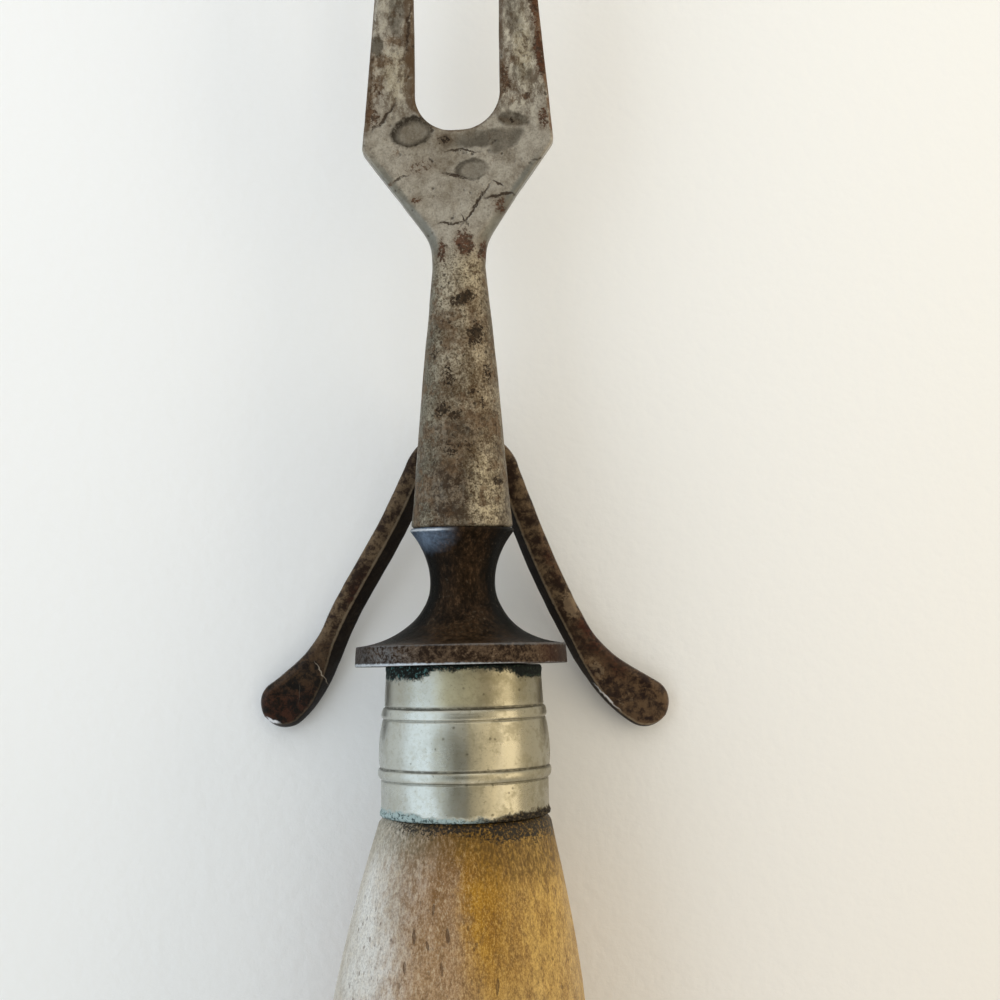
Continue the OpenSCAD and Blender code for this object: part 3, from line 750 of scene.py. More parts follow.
def roundCorners(points, reach):
    # each corner of an open outline becomes a curve that starts and ends reach away from it
    before, after = points[:-2] - points[1:-1], points[2:] - points[1:-1]
    lb, la = np.linalg.norm(before, axis=1), np.linalg.norm(after, axis=1)
    cut = np.minimum(reach, 0.45 * np.minimum(lb, la))[:, None]
    a = points[1:-1] + before / lb[:, None] * cut
    c = points[1:-1] + after / la[:, None] * cut
    t = np.linspace(0, 1, 6)[None, :, None]
    curve = (1 - t) ** 2 * a[:, None] + 2 * t * (1 - t) * points[1:-1][:, None] + t * t * c[:, None]
    return np.concatenate([points[:1], curve.reshape(-1, 2), points[-1:]])


def makeBolster(sizes):
    s = SimpleNamespace(**sizes)
    # turned profile: rim of the flange, a quarter oval up to the neck, an arc out to the collar
    wide = (s.flangeTop - s.neck) * s.coveShare
    last = math.acos(1 - (s.flangeTop - s.neck) / wide)
    tall = (s.neckY - s.rim) / math.sin(last)
    a = np.linspace(last, 0, 44)
    cove = np.stack([s.neck + wide * (1 - np.cos(a)), s.neckY - tall * np.sin(a)], 1)
    rise, out = s.height - s.band - s.neckY, s.collar - s.neck
    radius = (rise ** 2 + out ** 2) / (2 * out)
    b = np.linspace(0, math.asin(rise / radius), 24)[1:]
    throat = np.stack([s.neck + radius * (1 - np.cos(b)), s.neckY + radius * np.sin(b)], 1)
    rim = np.linspace(0, 1, 12)[:, None] * [s.flangeTop - s.flange, s.rim] + [s.flange, 0]
    lower = roundCorners(np.array([[s.bore, 0], [s.flange, 0], [s.flange - 0.01, 0.4]]), s.edge)
    upper = roundCorners(np.array([rim[-2], cove[0], cove[1]]), s.crisp)
    top = roundCorners(np.array([throat[-1], [s.collar, s.height - s.bevelDown],
                                 [s.collar - s.bevelIn, s.height], [s.bore, s.height]]), s.crisp)
    floor = np.linspace(s.bore, lower[1, 0], 8)[:-1, None] * [1, 0]
    outline = np.concatenate([floor, lower[1:-1], rim[3:-2], upper[1:-1], cove[1:], throat[:-1], top[:-1],
                              [[s.bore + 1, s.height], [s.bore, s.height], [s.bore, 0]]])
    grid = turnedGrid(outline[:, 0], outline[:, 1], s.around)
    points = grid.reshape(-1, 3)
    radius = np.hypot(points[:, 0], points[:, 2])
    show = ease((radius - s.bore - 0.2) / 0.5)[:, None] * [1, 0.3, 1]
    filed = relief(points, s.filing) - s.sink
    flat = points * [1, 0, 1] / np.maximum(radius, 1e-9)[:, None]
    points = points + flat * show * filed[:, None]
    # the flange sits a little to the left and out of square
    low = 1 - easeOver(points[:, 1], *s.squareOver)
    points[:, 0] -= s.aside * low * ease((radius - s.bore - 1) / 4)
    points[:, 1] += s.askew * points[:, 0] * low * ease((radius - s.bore - 1) / 4)
    # nearness to the worn edges of collar and flange
    edge = np.minimum(np.hypot(radius - s.collar, points[:, 1] - s.height + s.band),
                      np.minimum(np.hypot(radius - s.flange, points[:, 1]),
                                 np.hypot(radius - s.flangeTop, points[:, 1] - s.rim)))
    points, quads, edge = weld(points, gridQuads(len(outline), s.around), edge)
    return makeMesh("bolsterIron", points, outward(points, quads), {"edgeGap": np.clip(edge, 0, 5)})


# ferrule: a thin tube with two rolled beads that sit a little out of square
ferruleSizes = dict(
    length=17.0, top=8.85, end=9.65, wall=0.6, topShare=0.4, swell=0.22, lip=0.12, crumb=0.16,
    upperBead=5.3, lowerBead=12.2, beadWidth=1.25, beadHeight=0.26, beadReach=1.2, groove=0.09,
    grooveAt=1.12, dents=((0.05, 6, 42), (0.02, 2.2, 43)), around=224)
# the rings of the ferrule sag at the front, more the nearer they are to the handle: depth and slope
sagDepth, sagSlope, sagSide = (0, 2, 5.3, 12.2, 17), (0, 0.015, 0.046, 0.068, 0.095), 0.01


def makeFerrule(sizes):
    # a turned profile, down the outside and up the inside, dented, with its rings let down at the front
    s = SimpleNamespace(**sizes)
    beads = (s.upperBead, s.lowerBead)
    upper = s.top + s.topShare * (s.end - s.top)
    lower = s.end + s.beadHeight / 3
    d = np.unique(np.concatenate([np.linspace(0, s.length, 110)] + [
        b + np.linspace(-s.beadReach, s.beadReach, 41) for b in beads]))
    # radius: a straight top, a barrel between the beads and a straight end
    between = np.clip((d - s.upperBead) / (s.lowerBead - s.upperBead), 0, 1)
    barrel = upper + (lower - upper) * np.sin(math.pi / 2 * between) + s.swell * np.sin(math.pi * between)
    straight = np.maximum(s.end, lower - (lower - s.end) * (d - s.lowerBead) / s.beadWidth * 2)
    tube = np.where(d < s.upperBead, s.top + (upper - s.top) * d / s.upperBead, barrel)
    tube = np.where(d > s.lowerBead, straight, tube)
    # half round beads, and the grooves beside them
    radius, groove = tube, 0 * d
    for b in beads:
        x = (d - b) / (s.beadWidth / 2)
        radius = radius + s.beadHeight * np.sqrt(np.clip(1 - x * x, 0, 1)) ** 1.2
        radius = radius - s.groove * np.exp(-((np.abs(x) - s.grooveAt) / 0.16) ** 2)
        above, below = np.exp(-((x + s.grooveAt) / 0.22) ** 2), np.exp(-((x - s.grooveAt) / 0.2) ** 2)
        groove = groove + (above + 0.5 * below)
    lip = s.lip * np.exp(-((d - s.length + 0.25) / 0.3) ** 2)
    radius = radius + lip - 0.15 * ease((d - s.length + 0.2) / 0.2) - 0.12 * ease(1 - d / 0.2)
    outer = turnedGrid(radius, -d, s.around)
    inner = turnedGrid(tube[::-1] - s.wall, -d[::-1], s.around)
    grid = np.concatenate([outer, inner, outer[:1]])
    rows = len(grid)
    points = grid.reshape(-1, 3)
    depth = np.clip(-points[:, 1], 0, s.length)
    # dents, and crumbs of corrosion at the two ends
    flat = points * [1, 0, 1] / np.hypot(points[:, 0], points[:, 2])[:, None]
    ends = (1 - ease(depth / 1.3)) + ease((depth - s.length + 1.0) / 0.9)
    crumbs = s.crumb * ends * np.clip(unevenness(points, 0.55, 41) + 0.1, 0, 1) * ease(depth / 0.1)
    outside = np.concatenate([np.ones(len(d)), np.zeros(len(d)), [1]])[:, None] * np.ones(s.around)
    dents = relief(points, s.dents)
    points = points + flat * (dents * ease(depth) + crumbs * outside.reshape(-1))[:, None]
    sag = np.interp(depth, sagDepth, sagSlope) * points[:, 2]
    points[:, 1] += sagSide * points[:, 0] * ease(depth / 4) - sag
    groove = np.repeat(np.concatenate([groove, 0 * groove, groove[:1]]), s.around)
    points, quads, marks = weld(points, gridQuads(rows, s.around), np.stack([depth, groove], axis=1))
    return makeMesh("ferruleTube", points, outward(points, quads),
                    {"depth": marks[:, 0], "groove": marks[:, 1]})


# handle: a length of antler, bellied, with a rounded butt, a spigot in the ferrule and a bore for the tang
handleSizes = dict(
    start=17.0, length=104.0, neck=9.7, neckIn=0.35, neckRun=0.9, bellyHalfX=15.7, bellyHalfZ=13.6,
    bellyAt=36.0, buttShare=28 / 31.4, buttRound=8.0, bend=3.0, around=288,
    flats=0.3, flatsOver=(6, 40), furrow=0.5, furrowOver=(14, 30), fibre=0.03, sink=0.03, fitted=9,
    spigotTop=8.2, spigotEnd=8.95, seat=0.3, shoulder=1.2, hair=0.01, bore=3.5, boreDepth=72.0)


def makeHandle(sizes):
    # ovals along the antler: a quarter sine out to the belly, an eased fall and a rounded butt
    s = SimpleNamespace(**sizes)
    straight = s.length - s.buttRound
    d = np.concatenate([np.linspace(0, 4, 24), np.linspace(4, straight, 230)[1:],
                        straight + s.buttRound * np.sin(np.linspace(0, math.pi / 2, 40)[1:])])
    rise = np.sin(math.pi / 2 * np.clip(d / s.bellyAt, 0, 1))
    fall = 1 - (1 - s.buttShare) * easeOver(d, s.bellyAt, s.length - s.bellyAt)
    past = np.clip(d - s.length + s.buttRound, 0, None) / s.buttRound
    cap = np.sqrt(np.clip(1 - past ** 2, 0, 1))
    lead = s.neck - s.neckIn * (1 - ease(d / s.neckRun))
    a = np.linspace(0, 2 * math.pi, s.around, endpoint=False)
    halfX = np.where(d < s.bellyAt, lead + (s.bellyHalfX - lead) * rise, s.bellyHalfX * fall) * cap
    halfZ = np.where(d < s.bellyAt, lead + (s.bellyHalfZ - lead) * rise, s.bellyHalfZ * fall) * cap
    bend = -s.bend * np.sin(math.pi / 2 * d / s.length)
    grid = np.stack([bend[:, None] + halfX[:, None] * np.cos(a), -s.start - d[:, None] + 0 * a,
                     halfZ[:, None] * np.sin(a)], axis=-1)
    # natural surface: broad flats, shallow furrows that run along the antler and fade towards the ferrule
    flat = grid.reshape(-1, 3)
    stretched = flat * [1, 0.14, 1]
    far = np.repeat(d, s.around)
    grow = easeOver(far, *s.flatsOver) * (1 - ease((far - s.length + 6) / 6))
    broad = -s.flats * np.clip(unevenness(flat * [1, 0.5, 1], 11, 51) + 0.2, 0, 2) * grow
    waves = unevenness(stretched, 2.6, 52) + 0.5 * unevenness(stretched, 1.3, 54)
    groove = np.clip(1.6 * waves - 0.25, 0, 1)
    groove = groove * easeOver(far, *s.furrowOver) * (1 - ease((far - s.length + 4) / 4))
    furrow = -s.furrow * groove
    fibre = s.fibre * unevenness(flat * [1, 0.3, 1], 0.8, 53) * ease(far - 0.3)
    core = np.stack([np.repeat(bend, s.around), flat[:, 1], 0 * far], 1)
    ray = flat - core
    ray = ray / np.maximum(np.linalg.norm(ray, axis=1, keepdims=True), 1e-9)
    carved = broad + furrow + fibre - s.sink
    flat = flat + ray * carved[:, None] * np.repeat(cap > 0, s.around)[:, None]
    # the antler is fitted to the sagging end of the ferrule
    flat[:, 1] += (sagSide * flat[:, 0] - sagSlope[-1] * flat[:, 2]) * (1 - ease(far / s.fitted))
    # inside: down from the antler's shoulder, up the spigot, and down the bore
    inR = np.array([s.spigotEnd, s.spigotEnd, s.spigotTop, s.bore, s.bore, 0])
    inY = np.array([-s.start - s.shoulder, -s.start + s.hair, -s.seat, -s.seat, -s.boreDepth, -s.boreDepth])
    inner = turnedGrid(inR, inY, s.around).reshape(-1, 3)
    rows = len(inR) + len(d)
    points = np.concatenate([inner.reshape(len(inR), -1, 3)[::-1].reshape(-1, 3), flat])
    groove = np.concatenate([np.zeros(len(inner)), groove])
    points, quads, groove = weld(points, gridQuads(rows, s.around), groove)
    return makeMesh("antlerGrip", points, outward(points, quads), {"furrow": groove})


# marks on the steel, as centre, half lengths, turn and strength, in mm from the flange and the axis
steelMarks = dict(
    stain=[((-5.35, 61.3, 2), (2.35, 1.7, 3), 12, 0.55), ((6.4, 62.7, 2), (1.8, 0.9, 3), -8, 1.0),
           ((-1.3, 60.2, 2), (0.85, 0.7, 3), 0, 1.0), ((2.9, 60.5, 2), (4.0, 1.0, 3), 8, 0.85),
           ((1.6, 56.9, 2), (1.85, 1.1, 3), 10, 0.5), ((5.6, 60.2, 2), (2.2, 0.9, 3), 30, 0.75),
           ((-9.1, 71.3, 2), (0.7, 1.3, 3), 0, 0.8), ((-6.9, 75.5, 2), (0.9, 3.0, 3), -4, 0.7),
           ((6.6, 74.5, 2), (1.0, 2.4, 3), 10, 0.6), ((7.4, 68.0, 2), (1.2, 1.0, 3), 0, 0.6)],
    ringOut=[((-5.35, 61.3, 2), (2.4, 1.75, 3), 12, 1.0), ((1.6, 56.9, 2), (1.9, 1.2, 3), 10, 0.7)],
    ringIn=[((-5.1, 61.1, 2), (1.75, 1.15, 3), 12, 1.0), ((1.9, 56.8, 2), (1.5, 0.9, 3), 10, 1.0)],
    vein=[((2.0, 52.8, 2), (2.9, 0.15, 3), 55, 1.0), ((-0.9, 50.7, 2), (1.7, 0.13, 3), 8, 1.0),
          ((0.7, 51.0, 2), (0.9, 0.15, 3), -60, 0.9), ((0.5, 59.1, 2), (2.2, 0.14, 3), -3, 0.9),
          ((-0.4, 56.2, 2), (1.7, 0.22, 3), -14, 1.0), ((4.8, 53.8, 2), (2.0, 0.2, 3), 6, 1.0),
          ((-6.6, 55.9, 2), (1.2, 0.14, 3), 30, 0.8), ((9.4, 58.2, 2), (1.3, 0.12, 3), 20, 0.7),
          ((-8.3, 63.0, 2), (2.4, 0.2, 3), 48, 0.9), ((4.6, 55.2, 2), (0.8, 0.15, 3), -35, 0.9),
          ((-5.6, 73.0, 2), (3.5, 0.18, 3), 84, 0.8)],
    rust=[((4.9, 52.7, 2), (1.0, 1.2, 3), 20, 0.8), ((0.7, 48.4, 2.4), (1.2, 1.8, 3), 10, 1.0),
          ((2.8, 47.6, 2), (0.8, 1.5, 3), 0, 0.9), ((-2.0, 47.4, 2), (0.7, 1.7, 3), 0, 0.85),
          ((-4.4, 57.2, 2), (1.9, 0.9, 3), 10, 0.7), ((-5.0, 53.4, 2), (0.8, 0.4, 3), 0, 0.9),
          ((-7.7, 55.3, 2), (0.7, 0.3, 3), 20, 0.7), ((-9.9, 63.3, 2), (1.1, 1.5, 3), 0, 0.9),
          ((-9.4, 66.2, 2), (0.9, 1.3, 3), 0, 0.7), ((5.5, 67.4, 2), (0.7, 2.2, 3), 0, 0.9),
          ((7.9, 65.3, 2), (0.55, 0.5, 3), 0, 1.0), ((9.9, 62.8, 2), (0.6, 1.6, 3), 0, 0.9),
          ((9.5, 70.3, 2), (0.7, 3.2, 3), 4, 1.0), ((8.8, 77, 2), (0.8, 4.0, 3), 4, 0.9)],
    pit=[((0.4, 42.0, 3.3), (1.9, 0.9, 3), 24, 1.0), ((1.8, 37.8, 3.3), (1.2, 1.7, 3), -12, 1.0),
         ((3.0, 33.4, 2.8), (0.7, 1.3, 3), 0, 0.9), ((-2.0, 29.2, 4.0), (1.0, 1.1, 3), 0, 0.9),
         ((-1.3, 33.0, 3.9), (1.0, 1.8, 3), 10, 0.75), ((-0.5, 28.4, 4.5), (1.1, 0.7, 3), 0, 0.9),
         ((-1.2, 38.5, 3.3), (0.8, 2.6, 3), 0, 0.55), ((4.2, 21.0, 3.1), (0.75, 0.6, 3), 0, 1.0),
         ((-1.0, 24.6, 4.7), (1.6, 1.4, 3), 0, 0.7),
         ((-1.6, 60.3, 2), (0.9, 0.65, 3), 0, 0.9), ((5.9, 62.4, 2), (1.3, 0.35, 3), -10, 0.7),
         ((1.6, 31.2, 3.9), (0.6, 0.5, 3), 0, 0.8), ((-2.9, 35.6, 3.2), (0.8, 0.9, 3), 0, 0.7),
         ((0.9, 25.0, 4.6), (0.7, 0.9, 3), 0, 0.7), ((2.6, 29.6, 3.6), (0.5, 1.3, 3), 20, 0.7)],
    grime=[((-1.6, 20.0, 5), (2.6, 4.4, 4), 0, 1.0), ((-0.2, 26.0, 5), (3.6, 3.0, 4), 0, 0.7)],
    pale=[((3.0, 19.5, 4.5), (1.9, 4.0, 4), 0, 1.0), ((1.4, 45.0, 3), (1.5, 2.2, 3), 0, 0.7),
          ((-6.9, 68.0, 2), (1.6, 3.0, 3), 0, 0.7), ((7.6, 71.0, 2), (1.0, 4.0, 3), 3, 0.8)])


def steelPaint(name, m):
    material, root, spot = startPaint(name)
    x, y, gap = spot.part("X"), spot.part("Y"), root.mark("edgeGap")
    rag = spot.wander(1.1, 0.55)
    crinkle = spot.wander(0.5, 0.22)
    loose = crinkle.wander(2.0, 0.5)
    mottle = spot.cloud(4.2, 8, 0.7)
    fine = spot.cloud(0.55, 6, 0.7)
    grit = spot.cloud(0.22, 3, 0.6)
    grains = crinkle.cloud(0.34, 4, 0.75)
    shank = y.fade(45, 50)
    # even greyish tan on the shoulder, browner and more broken down the shank
    light = root.blend(shank, tone(160, 153, 140), tone(160, 148, 126))
    dark = root.blend(shank, tone(126, 117, 103), tone(88, 74, 55))
    colour = root.blend(mottle.step(0.36, 0.6), dark, light)
    bare = rag.marks(m["pale"], 0.5)
    colour = colour.coat(0.6 * bare * fine.step(0.35, 0.5), (180, 168, 140))
    edge = gap.fade(0.2, 1.3)
    # painted shade: cooler and darker greenish grey down the left side of the shank and along its edges
    colour = colour.coat(0.5 * shank * (0 - x).step(1.4, 3.4) + 0.2 * edge * shank, (82, 84, 74))
    grime = (0.7 * rag.marks(m["grime"], 0.6) + 1.4 * (mottle - 0.5)).step(0.2, 0.6)
    blotch = loose.cloud(1.3, 8, 0.76)
    dirt = blotch.shades(0.42, 0.55, (44, 31, 20), (116, 101, 84))
    colour = colour.coat(0.85 * grime, root.blend(0.6 * grains.fade(0.4, 0.55), dirt, tone(40, 30, 21)))
    colour = colour.coat((0.25 + 0.42 * shank) * fine.fade(0.41, 0.5), (74, 60, 43))
    colour = colour.coat((0.2 + 0.5 * shank) * grit.fade(0.38, 0.5), (58, 45, 31))
    colour = colour.coat((0.1 + 0.1 * shank) * (1 - grime) * grit.step(0.54, 0.66), (204, 196, 174))
    heel = y.fade(17, 32)
    colour = colour.coat(0.66 * heel * blotch.fade(0.42, 0.56), (44, 31, 20))
    colour = colour.coat(0.18 * heel * bare * grit.step(0.48, 0.58), (190, 177, 148))
    # brown blotches, more of them on the tines and the lower shank
    tine = y.step(61, 66)
    often = 0.5 + 0.1 * y.step(46, 50) - (0.1 - 0.08 * x.step(2, 5)) * tine
    blot = 0.75 * (rag.cloud(3.2, 8, 0.72) - often).step(0.0, 0.08)
    colour = colour.coat(blot, fine.shades(0.4, 0.58, (70, 52, 35), (104, 84, 63)))
    # lengthwise streaks of dirt and of bare metal on the tines
    streak = crinkle.stretch(1, 0.45, 1).cloud(0.75, 6, 0.75)
    colour = colour.coat((0.15 + 0.5 * tine) * streak.fade(0.41, 0.5), (72, 54, 36))
    bared = 0.1 + (0.35 + 0.35 * x.step(2, 5)) * tine
    colour = colour.coat(bared * streak.step(0.51, 0.61), (192, 184, 166))
    # rolled edges of the shoulder's slopes, smooth and a darker greenish grey, partly painted shade where
    # they curve down
    strip = (gap + 0.5 * (fine - 0.5)).fade(0.7, 1.3) * y.step(46, 48) * y.fade(56, 60)
    colour = colour.coat(0.7 * strip, (98, 99, 92))
    # rust in from the rims of the tines, widest on the inner left and outer right sides
    left, right = (0 - x).step(3.6, 4.4), x.step(3.6, 4.4)
    inside = abs(x).fade(7.2, 8.0)
    wide = (0.1 + 1.05 * left * inside * y.step(62.5, 65) + 0.55 * right * (1 - inside) * y.step(66, 69)
            + 0.5 * left * (1 - inside) * y.fade(64, 72) + 0.4 * right * inside * y.step(64, 66))
    rim = (gap + 1.3 * (rag.cloud(1.5, 6, 0.72) - 0.5) - wide).fade(-0.1, 0.3) * y.step(60, 61.5)
    rim = rim * (0.4 + 0.6 * fine.step(0.34, 0.52))
    colour = colour.coat(0.85 * rim, x.shades(6, 8, (80, 62, 44), (90, 58, 36)))
    # placed stains with darker outlines, rust spots, cracks and pits
    stain = loose.marks(m["stain"], 0.25) * (0.55 + 0.45 * mottle.step(0.42, 0.56))
    colour = colour.coat(0.92 * stain, (58, 51, 40))
    ring = (loose.marks(m["ringOut"], 0.1) - rag.marks(m["ringIn"], 0.35)).most(0.0)
    colour = colour.coat(0.95 * ring * (0.4 + 0.6 * fine.step(0.38, 0.5)), (44, 37, 28))
    halo = rag.marks(m["rust"], 0.7)
    colour = colour.coat(0.35 * halo, (98, 76, 54))
    rust = (0.42 * halo + grains).step(0.78, 0.85)
    red = x.step(8.2, 9.2).most(y.fade(52, 55))
    ruddy = root.blend(red, tone(84, 62, 44), tone(80, 47, 29))
    colour = colour.coat(0.88 * rust, root.blend(fine.step(0.4, 0.6), tone(50, 34, 23), ruddy))
    vein = crinkle.wander(1.6, 0.6).marks(m["vein"], 0.6).step(0.2, 0.95) * fine.step(0.36, 0.48)
    colour = colour.coat(0.92 * vein, (46, 34, 23))
    halo = rag.marks(m["pit"], 0.8)
    colour = colour.coat(0.45 * halo, (92, 72, 50))
    pit = (0.4 * halo + grains).step(0.78, 0.83)
    colour = colour.coat(0.92 * pit, fine.shades(0.4, 0.6, (24, 19, 13), (56, 43, 30)))
    often = spot.cloud(2.2, 4).step(0.46, 0.6)
    speck = crinkle.cells(0.95).fade(0.1, 0.3) * often
    dot = crinkle.cells(0.5).fade(0.12, 0.3) * shank * (1 - often)
    colour = colour.coat((0.8 * speck).most(0.75 * dot), (42, 33, 24))
    sunk = pit.most(vein).most(0.6 * speck)
    height = 0.06 * fine + 0.04 * grit - 0.16 * sunk - 0.05 * blot - 0.05 * rust
    rough = 0.46 + 0.2 * blot + 0.25 * sunk + 0.15 * rust - 0.12 * strip
    endPaint(root, height, 0.7, {"Base Color": colour, "Roughness": rough, "IOR": 1.2,
                                 "Metallic": 0.3 - 0.25 * blot.most(sunk).most(rust)})
    return material


def ironPaint(name):
    material, root, spot = startPaint(name)
    x, y, z, gap = spot.part("X"), spot.part("Y"), spot.part("Z"), root.mark("edgeGap")
    mottle = spot.cloud(2.4, 7, 0.65)
    fine = spot.cloud(0.5, 4)
    # brown along the front where the light falls, and painted shade at the sides and behind, near black
    front = z / root.calc("SQRT", x * x + z * z)
    grains = spot.cloud(0.45, 6, 0.75)
    patch = spot.stretch(1, 0.6, 1).cloud(1.5, 8, 0.75)
    litFront = front.step(0.55, 1.0) * (0.3 + 0.7 * patch.step(0.4, 0.58))
    colour = root.blend(litFront, tone(7, 6, 4), tone(45, 32, 20))
    colour = colour.coat(0.35 * litFront * y.fade(4, 11) * grains.step(0.44, 0.6), (64, 54, 41))
    scuff = spot.stretch(1, 0.45, 1).cloud(0.4, 5, 0.75)
    colour = colour.coat(0.5 * litFront * scuff.step(0.52, 0.62), (84, 64, 46))
    colour = colour.coat(0.5 * scuff.fade(0.38, 0.48), (6, 5, 3))
    rim = y.fade(2.2, 2.6)
    filed = (grains + 0.5 * (mottle - 0.5)).shades(0.38, 0.62, (36, 26, 19), (88, 72, 57))
    reddish = spot.wander(1.2, 0.8).oval((10.6, 1.0, 6), (1.5, 2.5, 6), 0, 0.9)
    filed = filed.coat(0.7 * reddish, (58, 32, 21))
    # painted bluish sheen on the left of the flange's rim
    filed = filed.coat(0.55 * (0 - x).step(4, 9) * grains.step(0.42, 0.6), (104, 112, 118))
    # painted shade where the flange's rim turns away at the sides
    filed = filed.coat(0.6 * abs(x).step(9.0, 11.6), (30, 22, 17))
    colour = colour.coat(0.9 * rim, filed)
    speck = grains.step(0.6, 0.68) * (0.35 + 0.65 * rim)
    colour = colour.coat(0.55 * speck, (136, 122, 104))
    # painted reflections: a bluish sheen on the left of the throat, and bright edges on the left of the
    # collar and along the flange's lower edge
    paintedSheen = spot.wander(0.7, 0.5).oval((-4.0, 15.0, 4.0), (2.2, 1.4, 5.0), 0, 0.95)
    paintedSheen = paintedSheen * (0.3 + 0.7 * (0.5 * mottle + 0.5 * grains).step(0.36, 0.6))
    colour = colour.coat(0.82 * paintedSheen, (116, 134, 156))
    # the bright edges are partly bare worn steel and partly painted highlight, kept to the left of the
    # collar and to the flange's lower edge
    low, high = y.fade(0.7, 1.2), y.step(10, 11)
    bare = low * (1 - 0.65 * x.step(2, 8)) + high * x.fade(-3.5, -0.5) + 0.15 * (1 - low) * (1 - high)
    worn = (gap + 0.4 * fine).fade(0.22, 0.46) * bare
    colour = colour.coat(worn, (182, 188, 194))
    rough = 0.24 + 0.2 * mottle - 0.05 * worn + 0.1 * rim
    endPaint(root, 0.03 * fine + 0.08 * mottle + 0.08 * grains, 0.6,
             {"Base Color": colour, "Roughness": rough, "IOR": 1.1,
              "Metallic": 0.05 + 0.65 * worn.most(paintedSheen)})
    return material


# marks on the guard, given in the same way
guardMarks = dict(
    pale=[((12.5, 6.9, -9), (0.9, 1.8, 3), 22, 1.0), ((15.6, -0.7, -10), (0.8, 2.0, 3), 32, 0.7),
          ((-9.6, 12.4, -8), (0.9, 3.6, 3), -26, 0.6), ((-12.8, 6.0, -9), (0.7, 3.0, 3), -26, 0.6),
          ((18.8, -4.2, -10.5), (1.6, 1.2, 3), 40, 0.5)],
    scratch=[((-16.7, -0.8, -10.3), (0.07, 1.5, 3), 28, 1.0),
             ((-19.4, -3.2, -10.3), (0.04, 1.2, 3), -4, 0.2)],
    red=[((14.9, 3.8, -9.8), (1.5, 2.9, 3), 28, 1.0), ((17.8, -0.2, -10.2), (1.0, 1.8, 3), 45, 0.8),
         ((-12.0, 8.6, -9), (1.1, 2.2, 3), -26, 0.7), ((10.4, 12.6, -8), (1.0, 2.6, 3), 20, 0.8)],
    paintedGlint=[((-22.6, -6.2, -10.8), (0.8, 0.2, 3), -28, 1.0),
           ((16.65, -3.9, -10.5), (1.9, 0.09, 3), -47, 0.9)])


def guardPaint(name, m):
    material, root, spot = startPaint(name)
    x, y, gap, inner = spot.part("X"), spot.part("Y"), root.mark("edgeGap"), root.mark("inner")
    rag = spot.wander(0.9, 0.4)
    mottle = spot.cloud(1.8, 8, 0.72)
    fine = spot.cloud(0.5, 5, 0.65)
    colour = mottle.shades(0.42, 0.58, (40, 27, 18), (98, 81, 61))
    colour = colour.coat(0.7 * fine.fade(0.36, 0.52), (34, 22, 15))
    # toes dark red-brown, the left one the darker
    toe = y.fade(-1.5, 5.0)
    blot = rag.cloud(1.3, 8, 0.76)
    colour = colour.coat(0.85 * toe, blot.shades(0.42, 0.58, (32, 17, 11), (94, 73, 52)))
    left = toe * (0 - x).step(8, 14)
    ruddy = y.shades(-4.5, -1.0, (50, 19, 11), (54, 38, 24))
    colour = colour.coat(0.85 * left, root.blend(blot.step(0.42, 0.6), tone(7, 6, 4), ruddy))
    red = rag.marks(m["red"], 0.6) * (0.35 + 0.65 * blot.step(0.4, 0.56))
    colour = colour.coat(0.85 * red, fine.shades(0.4, 0.6, (30, 13, 8), (66, 32, 20)))
    pale = (0.6 * rag.marks(m["pale"], 0.6) + 1.1 * (fine - 0.5)).step(0.3, 0.5)
    colour = colour.coat(0.5 * pale, (138, 118, 94))
    # painted shade: the sloping inner face of each arm, which faces the shank, is painted near black
    colour = colour.coat(0.9 * inner, (22, 16, 12))
    worn = (gap + 0.5 * fine).fade(0.28, 0.55) * (0.6 - 0.42 * left)
    colour = colour.coat(worn, (146, 130, 108))
    # painted highlights on the edges of the toes
    paintedGlint = rag.marks(m["paintedGlint"], 0.5)
    colour = colour.coat(0.9 * paintedGlint, (226, 228, 232))
    colour = colour.coat(0.8 * rag.marks(m["scratch"], 0.4), (150, 138, 122))
    rough = 0.46 + 0.2 * fine - 0.2 * toe
    endPaint(root, 0.1 * fine + 0.1 * mottle, 0.7,
             {"Base Color": colour, "Roughness": rough, "Metallic": 0.1 + 0.3 * worn, "IOR": 1.2,
              "Coat Weight": 0.06 * toe, "Coat Roughness": 0.2})
    return material


